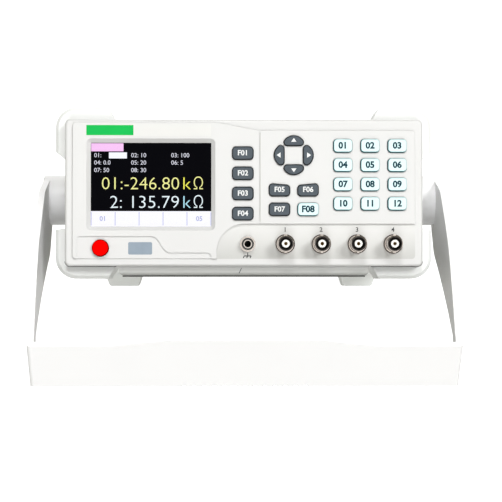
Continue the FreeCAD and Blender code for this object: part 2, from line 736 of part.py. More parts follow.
def make_display_window():
    outline = rectangle(SCREEN_X, SCREEN_Z, SCREEN_WIDTH, SCREEN_HEIGHT, SCREEN_CORNER)
    return slab(grown(outline, WINDOW_LAP), WINDOW_FRONT, MODULE_FRONT)


def make_display_module():
    outline = rectangle(SCREEN_X, SCREEN_Z, SCREEN_WIDTH, SCREEN_HEIGHT, SCREEN_CORNER)
    lap = WINDOW_LAP + MODULE_LAP
    return slab(grown(outline, lap), MODULE_FRONT, MODULE_FRONT + MODULE_THICKNESS)


def make_power_button():
    """Round push button with a domed edge, a flange behind the bezel and a stem."""
    front = STRIP_DEPTH - BUTTON_RISE
    flange_front = PLATE_BACK + KEY_SEAT_GAP
    flange_back = flange_front + BUTTON_FLANGE_THICKNESS
    cap = rod(BUTTON_X, BUTTON_Z, BUTTON_RADIUS, front, flange_back)
    cap = cap.makeFillet(BUTTON_EDGE, edges_at_depth(cap, front))
    flange = rod(BUTTON_X, BUTTON_Z, BUTTON_RADIUS + BUTTON_FLANGE, flange_front, flange_back)
    stem = rod(BUTTON_X, BUTTON_Z, BUTTON_STEM_RADIUS, flange_front, BUTTON_STEM_END)
    return cap.fuse([flange, stem]).removeSplitter()


def make_power_switch():
    """Latching switch body standing on the case floor behind the power button."""
    front = BUTTON_STEM_END + BUTTON_TRAVEL + SWITCH_GAP
    half = SWITCH_WIDTH / 2
    top = CASE_FLOOR + SWITCH_HEIGHT
    return block(BUTTON_X - half, BUTTON_X + half, front, front + SWITCH_DEPTH, CASE_FLOOR, top)


def make_port_cover():
    """Soft plug that closes the front port, held by its flange behind the bezel."""
    outline = rectangle(PORT_X, PORT_Z, PORT_WIDTH, PORT_HEIGHT, PORT_CORNER)
    plug = slab(outline, STRIP_DEPTH, PLATE_BACK)
    flange = slab(grown(outline, PORT_FLANGE), PLATE_BACK, PLATE_BACK + PORT_FLANGE_THICKNESS)
    return plug.fuse(flange).removeSplitter()


def make_front_port():
    """Port socket on its foot, standing on the case floor behind the cover."""
    front = PLATE_BACK + PORT_FLANGE_THICKNESS
    half_width = PORT_WIDTH / 2 - SOCKET_INSET
    top = PORT_Z + PORT_HEIGHT / 2 - SOCKET_INSET
    bottom = PORT_Z - PORT_HEIGHT / 2 + SOCKET_INSET
    shell = block(PORT_X - half_width, PORT_X + half_width, front, front + SOCKET_DEPTH, bottom, top)
    back = front + SOCKET_DEPTH
    foot = block(PORT_X - half_width, PORT_X + half_width, CASE_FRONT, back, CASE_FLOOR, bottom)
    return shell.fuse(foot).removeSplitter()


def make_jack(x):
    """Bayonet coaxial jack: collar on the panel, hollow barrel with two lugs, threaded body."""
    tip = RECESS_DEPTH - JACK_REACH
    collar = rod(x, JACK_Z, JACK_COLLAR_RADIUS, RECESS_DEPTH - JACK_COLLAR_LENGTH, RECESS_DEPTH)
    barrel = rod(x, JACK_Z, JACK_BARREL_RADIUS, tip, RECESS_DEPTH)
    barrel = barrel.makeChamfer(JACK_MOUTH_EDGE, edges_at_depth(barrel, tip))
    body = rod(x, JACK_Z, JACK_BODY_RADIUS, RECESS_DEPTH, RECESS_DEPTH + JACK_BODY_LENGTH)
    lug_reach = JACK_BARREL_RADIUS + LUG_RISE
    lug_start = Vector(x, tip + LUG_SETBACK, JACK_Z - lug_reach)
    lugs = Part.makeCylinder(LUG_RADIUS, 2 * lug_reach, lug_start, Vector(0, 0, 1))
    bore = rod(x, JACK_Z, JACK_BORE_RADIUS, tip, tip + JACK_BORE_DEPTH)
    return collar.fuse([barrel, body, lugs]).cut(bore).removeSplitter()


def make_jack_insulators():
    tip = RECESS_DEPTH - JACK_REACH
    front = tip + INSULATOR_SETBACK
    back = tip + JACK_BORE_DEPTH
    sleeves = []
    for x in jack_places():
        sleeve = rod(x, JACK_Z, INSULATOR_RADIUS, front, back)
        sleeves.append(sleeve.cut(rod(x, JACK_Z, INSULATOR_HOLE_RADIUS, front, back)))
    return Part.makeCompound(sleeves)


def make_jack_contacts():
    tip = RECESS_DEPTH - JACK_REACH
    front = tip + CONTACT_SETBACK
    back = tip + JACK_BORE_DEPTH
    contacts = []
    for x in jack_places():
        tube = rod(x, JACK_Z, INSULATOR_HOLE_RADIUS, front, back)
        contacts.append(tube.cut(rod(x, JACK_Z, CONTACT_BORE_RADIUS, front, front + CONTACT_BORE_DEPTH)))
    return Part.makeCompound(contacts)


def make_jack_nuts():
    nuts = []
    corner_radius = NUT_ACROSS_FLATS / math.sqrt(3)
    for x in jack_places():
        corners = []
        for side in range(6):
            angle = math.radians(60 * side)
            corners.append((x + corner_radius * math.cos(angle), JACK_Z + corner_radius * math.sin(angle), 0))
        nut = slab(corners, PLATE_BACK, PLATE_BACK + NUT_THICKNESS)
        nuts.append(nut.cut(rod(x, JACK_Z, JACK_BODY_RADIUS, PLATE_BACK, PLATE_BACK + NUT_THICKNESS)))
    return Part.makeCompound(nuts)


def make_ground_terminal():
    """Metal ground socket with a blind bore for a 4 mm plug."""
    tip = RECESS_DEPTH - GROUND_REACH
    collar_front = RECESS_DEPTH - GROUND_COLLAR_LENGTH
    collar = rod(GROUND_X, GROUND_Z, GROUND_COLLAR_RADIUS, collar_front, RECESS_DEPTH)
    barrel = rod(GROUND_X, GROUND_Z, GROUND_BARREL_RADIUS, tip, RECESS_DEPTH)
    barrel = barrel.makeChamfer(JACK_MOUTH_EDGE, edges_at_depth(barrel, tip))
    body = rod(GROUND_X, GROUND_Z, GROUND_BODY_RADIUS, RECESS_DEPTH, RECESS_DEPTH + GROUND_BODY_LENGTH)
    bore = rod(GROUND_X, GROUND_Z, GROUND_BORE_RADIUS, tip, tip + GROUND_BORE_DEPTH)
    return collar.fuse([barrel, body]).cut(bore).removeSplitter()


def bumper_outline():
    """Right-hand corner guard, seen from the front: two legs joined by a thin web."""
    web_x = CASE_HALF_WIDTH + BUMPER_WEB
    edge = BUMPER_EDGE / 2
    return [
        (CASE_HALF_WIDTH, CASE_BOTTOM, 0),
        (BUMPER_LEG_ROOT, CASE_BOTTOM, 0),
        (BUMPER_LEG_TIP, BUMPER_BOTTOM, edge),
        (BUMPER_HALF_WIDTH, BUMPER_BOTTOM, BUMPER_CORNER),
        (BUMPER_HALF_WIDTH, BUMPER_NOTCH_BOTTOM - BUMPER_NOTCH_FALL, edge),
        (web_x, BUMPER_NOTCH_BOTTOM, edge),
        (web_x, BUMPER_NOTCH_TOP, edge),
        (BUMPER_HALF_WIDTH, BUMPER_NOTCH_TOP + BUMPER_NOTCH_RISE, edge),
        (BUMPER_HALF_WIDTH, BUMPER_TOP, BUMPER_CORNER),
        (BUMPER_LEG_TIP, BUMPER_TOP, edge),
        (BUMPER_LEG_ROOT, CASE_TOP, 0),
        (CASE_HALF_WIDTH, CASE_TOP, 0),
    ]


def bumper_envelope(inset):
    """Outline round all the bumpers, drawn in by an inset."""
    width = 2 * (BUMPER_HALF_WIDTH - inset)
    height = BUMPER_TOP - BUMPER_BOTTOM - 2 * inset
    middle = (BUMPER_TOP + BUMPER_BOTTOM) / 2
    return rounded_outline(rectangle(0, middle, width, height, BUMPER_CORNER - inset), on_front)


def make_bumper(y_front, y_back):
    """Right-hand bumper with its outer front and back edges bevelled all round."""
    guard = slab(bumper_outline(), y_front, y_back)
    stations = [
        (y_front, BUMPER_EDGE),
        (y_front + BUMPER_EDGE, 0),
        (y_back - BUMPER_EDGE, 0),
        (y_back, BUMPER_EDGE),
    ]
    wires = []
    for y, inset in stations:
        wire = bumper_envelope(inset)
        wire.translate(Vector(0, y, 0))
        wires.append(wire)
    return guard.common(Part.makeLoft(wires, True, True))


def make_foot(x, y, width):
    """Hollow foot under the tray, narrower towards the table."""
    half = width / 2
    tip = half - FOOT_TAPER
    outline = [
        (x - half, CASE_BOTTOM, 0),
        (x - tip, FOOT_BOTTOM, FOOT_ROUND),
        (x + tip, FOOT_BOTTOM, FOOT_ROUND),
        (x + half, CASE_BOTTOM, 0),
    ]
    foot = slab(outline, y - FOOT_DEPTH / 2, y + FOOT_DEPTH / 2)
    inside = tip - FOOT_WALL
    depth = FOOT_DEPTH / 2 - FOOT_WALL
    hollow = block(x - inside, x + inside, y - depth, y + depth, FOOT_BOTTOM, CASE_BOTTOM - FOOT_WALL)
    return foot.cut(hollow)


def make_chassis_tray():
    """Folded tray: floor, two sides with air slots, rear flanges, board standoffs and four feet."""
    inner = CASE_HALF_WIDTH - SHEET
    floor = block(-CASE_HALF_WIDTH, CASE_HALF_WIDTH, CASE_FRONT, CASE_REAR, CASE_BOTTOM, CASE_FLOOR)
    pieces = []
    slots = []
    for side in (-1, 1):
        x0, x1 = sorted((side * inner, side * CASE_HALF_WIDTH))
        pieces.append(block(x0, x1, CASE_FRONT, CASE_REAR, CASE_FLOOR, COVER_UNDERSIDE))
        f0, f1 = sorted((side * inner, side * (inner - REAR_FLANGE)))
        flange_top = COVER_UNDERSIDE - COVER_FLANGE
        pieces.append(block(f0, f1, PANEL_FRONT - SHEET, PANEL_FRONT, CASE_FLOOR, flange_top))
        for index in range(VENT_COUNT):
            y = VENT_FIRST_Y + index * VENT_PITCH
            low = VENT_CENTRE_Z - VENT_LENGTH / 2
            high = VENT_CENTRE_Z + VENT_LENGTH / 2
            half = VENT_WIDTH / 2
            slots.append(block(x0, x1, y - half, y + half, low, high))
    for x, y in board_corners():
        foot = Vector(x, y, CASE_FLOOR)
        pieces.append(Part.makeCylinder(STANDOFF_RADIUS, STANDOFF_HEIGHT, foot, Vector(0, 0, 1)))
    for x, z in rear_screw_places():
        slots.append(rod(x, z, REAR_SHANK_RADIUS, PANEL_FRONT - SHEET, PANEL_FRONT))
    tray = floor.fuse(pieces).cut(slots).removeSplitter()
    feet = [make_foot(side * FOOT_FRONT_X, FOOT_FRONT_Y, FOOT_FRONT_WIDTH) for side in (-1, 1)]
    feet += [make_foot(side * FOOT_REAR_X, FOOT_REAR_Y, FOOT_REAR_WIDTH) for side in (-1, 1)]
    return Part.makeCompound([tray] + feet)


def make_top_cover():
    """Lid with two down-turned flanges that stand inside the tray's sides."""
    lid = block(-CASE_HALF_WIDTH, CASE_HALF_WIDTH, CASE_FRONT, CASE_REAR, COVER_UNDERSIDE, CASE_TOP)
    inner = CASE_HALF_WIDTH - SHEET
    y0 = CASE_FRONT + COVER_FLANGE_SETBACK
    y1 = CASE_REAR - COVER_FLANGE_SETBACK
    flanges = []
    for side in (-1, 1):
        x0, x1 = sorted((side * inner, side * (inner - SHEET)))
        flanges.append(block(x0, x1, y0, y1, COVER_UNDERSIDE - COVER_FLANGE, COVER_UNDERSIDE))
    return lid.fuse(flanges).removeSplitter()


def rear_screw_places():
    x = CASE_HALF_WIDTH - SHEET - SCREW_INSET_X
    low = CASE_FLOOR + SCREW_INSET_Z
    high = COVER_UNDERSIDE - COVER_FLANGE - SCREW_INSET_Z
    return [(-x, low), (x, low), (-x, high), (x, high)]


def serial_outline():
    half_top = SERIAL_WIDTH_TOP / 2
    half_bottom = SERIAL_WIDTH_BOTTOM / 2
    low = SERIAL_Z - SERIAL_HEIGHT / 2
    high = SERIAL_Z + SERIAL_HEIGHT / 2
    return [
        (SERIAL_X - half_bottom, low, SERIAL_CORNER),
        (SERIAL_X + half_bottom, low, SERIAL_CORNER),
        (SERIAL_X + half_top, high, SERIAL_CORNER),
        (SERIAL_X - half_top, high, SERIAL_CORNER),
    ]


def make_rear_panel():
    """Back plate with openings for the mains inlet, the fuse and the serial port."""
    inner = CASE_HALF_WIDTH - SHEET
    plate = block(-inner, inner, PANEL_FRONT, CASE_REAR, CASE_FLOOR, COVER_UNDERSIDE)
    inlet = rectangle(INLET_X, INLET_Z, INLET_WIDTH, INLET_HEIGHT, INLET_CORNER)
    cuts = [slab(inlet, PANEL_FRONT, CASE_REAR)]
    cuts.append(rod(FUSE_X, FUSE_Z, FUSE_BODY_RADIUS, PANEL_FRONT, CASE_REAR))
    cuts.append(slab(serial_outline(), PANEL_FRONT, CASE_REAR))
    for x, z in rear_screw_places():
        cuts.append(rod(x, z, REAR_SHANK_RADIUS, PANEL_FRONT, CASE_REAR))
    return plate.cut(cuts)


def make_power_inlet():
    """Three-pin mains inlet: hollow body through the panel, flange outside, flat pins inside."""
    body_outline = rectangle(INLET_X, INLET_Z, INLET_WIDTH, INLET_HEIGHT, INLET_CORNER)
    flange_outline = rectangle(INLET_X, INLET_Z, INLET_FLANGE_WIDTH, INLET_FLANGE_HEIGHT, INLET_CORNER)
    mouth = CASE_REAR + INLET_FLANGE_THICKNESS
    bottom = mouth - INLET_DEPTH
    body = slab(body_outline, bottom, CASE_REAR)
    flange = slab(flange_outline, CASE_REAR, mouth)
    hollow_width = INLET_WIDTH - 2 * INLET_WALL
    hollow_height = INLET_HEIGHT - 2 * INLET_WALL
    hollow_outline = rectangle(INLET_X, INLET_Z, hollow_width, hollow_height, INLET_CORNER - INLET_WALL)
    hollow = slab(hollow_outline, bottom + INLET_WALL, mouth)
    places = [(-PIN_SPREAD, -PIN_OFFSET_Z), (0, PIN_OFFSET_Z), (PIN_SPREAD, -PIN_OFFSET_Z)]
    pins = []
    for dx, dz in places:
        outline = rectangle(INLET_X + dx, INLET_Z + dz, PIN_WIDTH, PIN_HEIGHT, 0)
        pins.append(slab(outline, bottom, mouth - PIN_TIP_SETBACK))
    return body.fuse(flange).cut(hollow).fuse(pins).removeSplitter()


def make_fuse_holder():
    flange = rod(FUSE_X, FUSE_Z, FUSE_FLANGE_RADIUS, CASE_REAR, CASE_REAR + FUSE_FLANGE_LENGTH)
    cap = rod(FUSE_X, FUSE_Z, FUSE_CAP_RADIUS, CASE_REAR, CASE_REAR + FUSE_CAP_LENGTH)
    body = rod(FUSE_X, FUSE_Z, FUSE_BODY_RADIUS, CASE_REAR - FUSE_BODY_LENGTH, CASE_REAR)
    return flange.fuse([cap, body]).removeSplitter()


def make_serial_port():
    """D-shaped port: filled shell outside, flange on the panel, body inside."""
    corner = SERIAL_FLANGE_CORNER
    outline = rectangle(SERIAL_X, SERIAL_Z, SERIAL_FLANGE_WIDTH, SERIAL_FLANGE_HEIGHT, corner)
    flange = slab(outline, CASE_REAR, CASE_REAR + SERIAL_FLANGE_THICKNESS)
    shell = slab(serial_outline(), PANEL_FRONT - SERIAL_BODY_DEPTH, CASE_REAR + SERIAL_REACH)
    return flange.fuse(shell).removeSplitter()


def make_rear_screws():
    screws = []
    for x, z in rear_screw_places():
        head = rod(x, z, REAR_SCREW_RADIUS, CASE_REAR, CASE_REAR + REAR_SCREW_HEAD)
        shank = rod(x, z, REAR_SHANK_RADIUS, CASE_REAR - REAR_SHANK_LENGTH, CASE_REAR)
        screws.append(head.fuse(shank).removeSplitter())
    return Part.makeCompound(screws)


def board_limits():
    half = CASE_HALF_WIDTH - SHEET - MAIN_BOARD_SIDE_GAP
    return half, MAIN_BOARD_FRONT, MAIN_BOARD_REAR


def board_corners():
    half, front, rear = board_limits()
    x = half - STANDOFF_INSET
    return [(-x, front + STANDOFF_INSET), (x, front + STANDOFF_INSET),
            (-x, rear - STANDOFF_INSET), (x, rear - STANDOFF_INSET)]


def make_main_board():
    half, front, rear = board_limits()
    z = CASE_FLOOR + STANDOFF_HEIGHT
    return block(-half, half, front, rear, z, z + BOARD_THICKNESS)


def make_transformer():
    """Mains transformer on the case floor: laminated core with its coil standing out both ways."""
    rear = PANEL_FRONT - CORE_REAR_GAP
    front = rear - CORE_DEPTH
    half = CORE_WIDTH / 2
    top = CASE_FLOOR + CORE_HEIGHT
    core = block(CORE_X - half, CORE_X + half, front, rear, CASE_FLOOR, top)
    middle = (CASE_FLOOR + top) / 2
    coil_height = CORE_HEIGHT - 2 * COIL_INSET_Z
    coil_outline = rectangle(CORE_X, middle, COIL_WIDTH, coil_height, COIL_CORNER)
    coil = slab(coil_outline, front - COIL_OVERHANG, rear + COIL_OVERHANG)
    return core.fuse(coil).removeSplitter()


def make_pivot_boss():
    """Right-hand pivot: a round boss on the case side with the handle's shaft."""
    boss_end = CASE_HALF_WIDTH + BOSS_THICKNESS
    boss = disc(CASE_HALF_WIDTH, boss_end, HUB_RADIUS)
    shaft = disc(boss_end, SHAFT_END_X, SHAFT_RADIUS)
    screw_hole = disc(SHAFT_END_X - PIVOT_SHANK_LENGTH, SHAFT_END_X, PIVOT_SHANK_RADIUS)
    return boss.fuse(shaft).cut(screw_hole).removeSplitter()


def make_pivot_screws():
    """Broad-headed screws in the shafts' ends, which keep the handle on."""
    head = disc(SHAFT_END_X, SHAFT_END_X + SCREW_HEAD_THICKNESS, SCREW_HEAD_RADIUS)
    shank = disc(SHAFT_END_X - PIVOT_SHANK_LENGTH, SHAFT_END_X, PIVOT_SHANK_RADIUS)
    screw = head.fuse(shank).removeSplitter()
    return Part.makeCompound([screw, mirrored(screw)])


def make_hub_cap():
    return disc(HUB_OUTER_X - CAP_THICKNESS, HUB_OUTER_X, CAP_RADIUS)


def handle_front_outline():
    """U-shaped band seen along its depth, hanging straight down from the pivot axis."""
    top = HUB_RADIUS
    bottom = -HANDLE_LENGTH
    inside = bottom + GRIP_THICKNESS
    points = {}
    for side in (-1, 1):
        for name, inset in (("outer", 0), ("inner", ARM_THICKNESS)):
            points[side, name] = [
                Vector(side * (HANDLE_HALF_WIDTH_TOP - inset), 0, top),
                Vector(side * (HANDLE_HALF_WIDTH_MID - inset), 0, -HANDLE_MID_DROP),
                Vector(side * (HANDLE_HALF_WIDTH_END - inset), 0, bottom if name == "outer" else inside),
            ]
    edges = []
    for side in (-1, 1):
        outer = points[side, "outer"]
        inner = points[side, "inner"]
        edges.append(Part.Arc(*outer).toShape())
        edges.append(Part.Arc(*inner).toShape())
        edges.append(Part.LineSegment(outer[0], inner[0]).toShape())
    edges.append(Part.LineSegment(points[-1, "outer"][2], points[1, "outer"][2]).toShape())
    edges.append(Part.LineSegment(points[-1, "inner"][2], points[1, "inner"][2]).toShape())
    return Part.Wire(Part.__sortEdges__(edges))


def make_handle(tilt):
    """One moulding: two hubs, two tapered arms and a broad grip with a ribbed foot edge."""
    depth = ARM_FRONT_SHOULDER + GRIP_SWELL
    band = Part.Face(handle_front_outline())
    band.translate(Vector(0, -depth, 0))
    band = band.extrude(Vector(0, 2 * depth, 0))
    corner_edges = []
    for edge in band.Edges:
        box = edge.BoundBox
        along_depth = box.YLength > depth
        at_corner = abs(abs(edge.CenterOfMass.x) - HANDLE_HALF_WIDTH_END) < 1e-3
        if along_depth and at_corner and abs(edge.CenterOfMass.z + HANDLE_LENGTH) < 1e-3:
            corner_edges.append(edge)
    band = band.makeFillet(GRIP_CORNER, corner_edges)

    side_view = [
        (-HUB_RADIUS, 0, 0),
        (-ARM_FRONT_SHOULDER, -ARM_SHOULDER_DROP, ARM_SHOULDER_ROUND),
        (-ARM_FRONT_SHOULDER, -ARM_TAPER_DROP, ARM_TAPER_ROUND),
        (-GRIP_HALF_DEPTH, ARM_TAPER_END - HANDLE_LENGTH, 0),
        (-GRIP_HALF_DEPTH, -HANDLE_LENGTH, 0),
        (GRIP_HALF_DEPTH, -HANDLE_LENGTH, 0),
        (GRIP_HALF_DEPTH, GRIP_THICKNESS - HANDLE_LENGTH, 0),
        (-ARM_WAIST, ARM_WAIST_RISE - HANDLE_LENGTH, ARM_WAIST_ROUND),
        (ARM_REAR_SHOULDER, -ARM_SHOULDER_DROP, ARM_SHOULDER_ROUND),
        (HUB_RADIUS, 0, 0),
    ]
    wide = 2 * HUB_OUTER_X
    side_face = Part.Face(rounded_outline(side_view, on_side))
    side_face.translate(Vector(-wide / 2, 0, 0))
    band = band.common(side_face.extrude(Vector(wide, 0, 0)))

    swell = [
        (-GRIP_SWELL_HALF_LENGTH, -GRIP_HALF_DEPTH, GRIP_SWELL_ROUND),
        (-GRIP_SWELL_HALF_FLAT, -GRIP_HALF_DEPTH - GRIP_SWELL, GRIP_SWELL_ROUND),
        (GRIP_SWELL_HALF_FLAT, -GRIP_HALF_DEPTH - GRIP_SWELL, GRIP_SWELL_ROUND),
        (GRIP_SWELL_HALF_LENGTH, -GRIP_HALF_DEPTH, GRIP_SWELL_ROUND),
        (GRIP_SWELL_HALF_LENGTH + GRIP_SWELL_END, -GRIP_HALF_DEPTH, 0),
        (GRIP_SWELL_HALF_LENGTH + GRIP_SWELL_END, 0, 0),
        (-GRIP_SWELL_HALF_LENGTH - GRIP_SWELL_END, 0, 0),
        (-GRIP_SWELL_HALF_LENGTH - GRIP_SWELL_END, -GRIP_HALF_DEPTH, 0),
    ]
    swell_face = Part.Face(rounded_outline(swell, on_top))
    swell_face.translate(Vector(0, 0, -HANDLE_LENGTH))
    band = band.fuse(swell_face.extrude(Vector(0, 0, GRIP_THICKNESS)))

    lean = HANDLE_STAND_ANGLE + tilt
    down = Vector(0, math.sin(math.radians(lean)), -math.cos(math.radians(lean)))
    foot = Vector(0, GRIP_HALF_DEPTH, -HANDLE_LENGTH).dot(down) - FOOT_LAND_CUT
    table = block(-wide, wide, -HANDLE_LENGTH, HANDLE_LENGTH, -HANDLE_LENGTH, 0)
    table.rotate(Vector(0, 0, 0), Vector(1, 0, 0), lean)
    table.translate(down * foot)
    grooves = []
    for index in range(RIB_COUNT):
        x = (index - (RIB_COUNT - 1) / 2) * RIB_PITCH
        half = RIB_GROOVE_WIDTH / 2
        reach = RIB_GROOVE_REACH
        groove = block(x - half, x + half, -reach, reach, -RIB_GROOVE_DEPTH, RIB_GROOVE_DEPTH)
        groove.rotate(Vector(0, 0, 0), Vector(1, 0, 0), lean)
        groove.translate(Vector(0, GRIP_HALF_DEPTH, -HANDLE_LENGTH) - down * FOOT_LAND_CUT)
        grooves.append(groove)
    band = band.cut([table] + grooves)

    band.rotate(Vector(0, 0, 0), Vector(1, 0, 0), -HANDLE_STAND_ANGLE)
    band.translate(Vector(0, PIVOT_Y, 0))
    hub = disc(HUB_INNER_X, HUB_OUTER_X, HUB_RADIUS)
    rim = [edge for edge in hub.Edges if abs(edge.BoundBox.XMin - HUB_OUTER_X) < 1e-4]
    hub = hub.makeFillet(HUB_EDGE, rim)
    shaft_hole = disc(HUB_INNER_X, HUB_WEB_X, SHAFT_RADIUS + SHAFT_GAP)
    pocket = disc(HUB_WEB_X, HUB_OUTER_X + ARM_THICKNESS, CAP_RADIUS)
    handle = band.fuse([hub, mirrored(hub)])
    handle = handle.cut([shaft_hole, pocket, mirrored(shaft_hole), mirrored(pocket)])
    return handle.removeSplitter()


def build_pieces(tilt):
    keys = key_plan()
    pieces = {
        "front_bezel": make_front_bezel(keys),
        "display_window": make_display_window(),
        "display_module": make_display_module(),
        "key_mat": make_key_mat(keys),
        "key_board": make_key_board(),
        "power_button": make_power_button(),
        "power_switch": make_power_switch(),
        "port_cover": make_port_cover(),
        "front_port": make_front_port(),
        "jack_insulators": make_jack_insulators(),
        "jack_contacts": make_jack_contacts(),
        "jack_nuts": make_jack_nuts(),
        "ground_terminal": make_ground_terminal(),
        "chassis_tray": make_chassis_tray(),
        "top_cover": make_top_cover(),
        "rear_panel": make_rear_panel(),
        "power_inlet": make_power_inlet(),
        "fuse_holder": make_fuse_holder(),
        "serial_port": make_serial_port(),
        "rear_screws": make_rear_screws(),
        "main_board": make_main_board(),
        "mains_transformer": make_transformer(),
        "pivot_screws": make_pivot_screws(),
        "handle": make_handle(tilt),
    }
    for index, x in enumerate(jack_places()):
        pieces[f"coaxial_jack_{index + 1}"] = make_jack(x)
    paired = {
        "front_bumper": make_bumper(BUMPER_FRONT_START, BUMPER_FRONT_START + BUMPER_FRONT_LENGTH),
        "rear_bumper": make_bumper(BUMPER_REAR_START, BUMPER_REAR_END),
        "pivot_boss": make_pivot_boss(),
        "hub_cap": make_hub_cap(),
    }
    for name, shape in paired.items():
        pieces[f"{name}_right"] = shape
        pieces[f"{name}_left"] = mirrored(shape)
    for name, x, z, flange, outline in keys:
        pieces[name] = make_key(x, z, flange, outline)
    return pieces


def main():
    tilt = stand_tilt()
    pieces = build_pieces(tilt)
    for shape in pieces.values():
        shape.rotate(Vector(0, 0, 0), Vector(1, 0, 0), -tilt)
    box = Part.makeCompound(list(pieces.values())).optimalBoundingBox(False, False)
    centre = Vector((box.XMin + box.XMax) / 2, (box.YMin + box.YMax) / 2, box.ZMin)
    os.makedirs("parts", exist_ok=True)
    for name, shape in pieces.items():
        shape.translate(centre * -1)
        shape.exportStep(f"parts/{name}.step")
    pivot = Vector(0, PIVOT_Y, 0)
    pivot = FreeCAD.Rotation(Vector(1, 0, 0), -tilt).multVec(pivot) - centre
    print(f"{len(pieces)} pieces, leaning back {tilt:.3f} degrees")
    print(f"pivot axis at y {pivot.y:.3f}, z {pivot.z:.3f}")
    print(f"overall {box.XLength:.1f} x {box.YLength:.1f} x {box.ZLength:.1f} mm")


main()
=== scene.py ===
import json
import math

import bmesh
import bpy
from mathutils import Matrix, Vector


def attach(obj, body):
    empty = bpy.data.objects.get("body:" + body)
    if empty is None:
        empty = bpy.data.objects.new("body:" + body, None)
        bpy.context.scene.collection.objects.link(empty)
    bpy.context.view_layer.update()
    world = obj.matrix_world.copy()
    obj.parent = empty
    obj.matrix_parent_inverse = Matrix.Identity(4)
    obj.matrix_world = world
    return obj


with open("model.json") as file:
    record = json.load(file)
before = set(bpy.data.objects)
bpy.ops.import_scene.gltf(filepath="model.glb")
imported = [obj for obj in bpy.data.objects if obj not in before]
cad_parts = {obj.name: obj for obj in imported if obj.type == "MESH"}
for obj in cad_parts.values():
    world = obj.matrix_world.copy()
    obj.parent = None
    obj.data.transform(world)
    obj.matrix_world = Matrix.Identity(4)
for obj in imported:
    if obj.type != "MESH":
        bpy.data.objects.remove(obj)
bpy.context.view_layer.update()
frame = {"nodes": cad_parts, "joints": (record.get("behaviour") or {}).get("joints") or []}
nodes = frame["nodes"]
joints = {joint["name"]: joint for joint in frame["joints"]}

# The instrument's own axes: across its front, into the case, and up the front face.
# Sizes below are panel millimetres, measured from the face and from the pivot axis. A depth counts
# into the case from the face, and a rise counts out of it from the face or from a drawing's plane.
MM = 0.001
ACROSS = Vector((1, 0, 0))
INTO = Vector(joints["power_push"]["axis"])
UP = ACROSS.cross(INTO)
OUT = -INTO
PIVOT = Vector(joints["handle_swing"]["pos_m"])
FACE_DEPTH = min(vertex.co.dot(INTO) for vertex in nodes["front_bezel"].data.vertices)
FACE_ORIGIN = PIVOT + INTO * (FACE_DEPTH - PIVOT.dot(INTO))

# Depth of the floor round the jacks
RECESS_DEPTH = 1.5


def panel(x, depth, z):
    """Point in the row frame from panel millimetres."""
    return FACE_ORIGIN + (ACROSS * x + INTO * depth + UP * z) * MM


def panel_matrix(depth):
    """Places a drawing in millimetres flat on a plane of the panel, with its third axis pointing out."""
    place = Matrix.Identity(4)
    for row in range(3):
        for column, axis in enumerate((ACROSS, UP, OUT)):
            place[row][column] = axis[row] * MM
    place.translation = panel(0, depth, 0)
    return place


def panel_points(node):
    """Every point of a node in panel millimetres: across, depth, up."""
    points = []
    for vertex in nodes[node].data.vertices:
        offset = (vertex.co - FACE_ORIGIN) / MM
        points.append((offset.dot(ACROSS), offset.dot(INTO), offset.dot(UP)))
    return points


def panel_box(node):
    """Lowest and highest corner of a node in panel millimetres: across, depth, up."""
    points = panel_points(node)
    low = [min(point[axis] for point in points) for axis in range(3)]
    high = [max(point[axis] for point in points) for axis in range(3)]
    return low, high


def node_middle(node):
    """Middle of a node across and up the panel."""
    low, high = panel_box(node)
    return (low[0] + high[0]) / 2, (low[2] + high[2]) / 2


def front_rise(node):
    """Rise of a node's foremost point over the face."""
    return max(-depth for _, depth, _ in panel_points(node))


def rear_rise(node):
    """Rise of a node's rearmost point over the face, which is below zero behind it."""
    return min(-depth for _, depth, _ in panel_points(node))


# Materials: a grain near 0.1 mm or finer would not show, so it is drawn at FINE_GRAIN or coarser
FINE_GRAIN = 0.3
ABS_IOR = 1.53
# Lean of the white keys' lit side to the right and up, for their painted shade
PAINTED_SHADE_LEAN = (0.3, 0.2)
DOT_PITCH = 0.46
DOT_LIGHT = (1.04, 0.94)

# Heights between which painted shade greys the front's lip and darkens the recess floor, and how near to
# the floor counts
LIP_SHADE_FADE = (-46.4, -44.4)
FLOOR_SHADE_FADE = (-38.0, -22.0)
SHADED_FLOOR_BAND = 0.05

# A mix node has sockets for each kind of value, and these are the places of those that mix colours
MIX_SHARE = 0
MIX_LOW = 6
MIX_HIGH = 7
MIX_RESULT = 2


def linear(code):
    """Linear colour from an sRGB hex value."""
    channels = []
    for start in (0, 2, 4):
        value = int(code[start:start + 2], 16) / 255
        channels.append(value / 12.92 if value <= 0.04045 else ((value + 0.055) / 1.055) ** 2.4)
    return (*channels, 1.0)


def per_mm(size):
    """Texture scale for a pattern whose features are this many millimetres across."""
    return 1 / (size * MM)


def add(tree, kind, inputs=None, **settings):
    """One node of a kind: settings are its properties, inputs its values and links."""
    made = tree.nodes.new("ShaderNode" + kind)
    for name, value in settings.items():
        setattr(made, name, value)
    for name, value in (inputs or {}).items():
        if isinstance(value, bpy.types.NodeSocket):
            tree.links.new(value, made.inputs[name])
        else:
            made.inputs[name].default_value = value
    return made


def start_material(name, values):
    """Material with one principled shader, its plain values set on the shader's own sockets."""
    material = bpy.data.materials.new(name)
    material.use_nodes = True
    shader = material.node_tree.nodes["Principled BSDF"]
    for socket, value in values.items():
        shader.inputs[socket].default_value = value
    return material, material.node_tree, shader


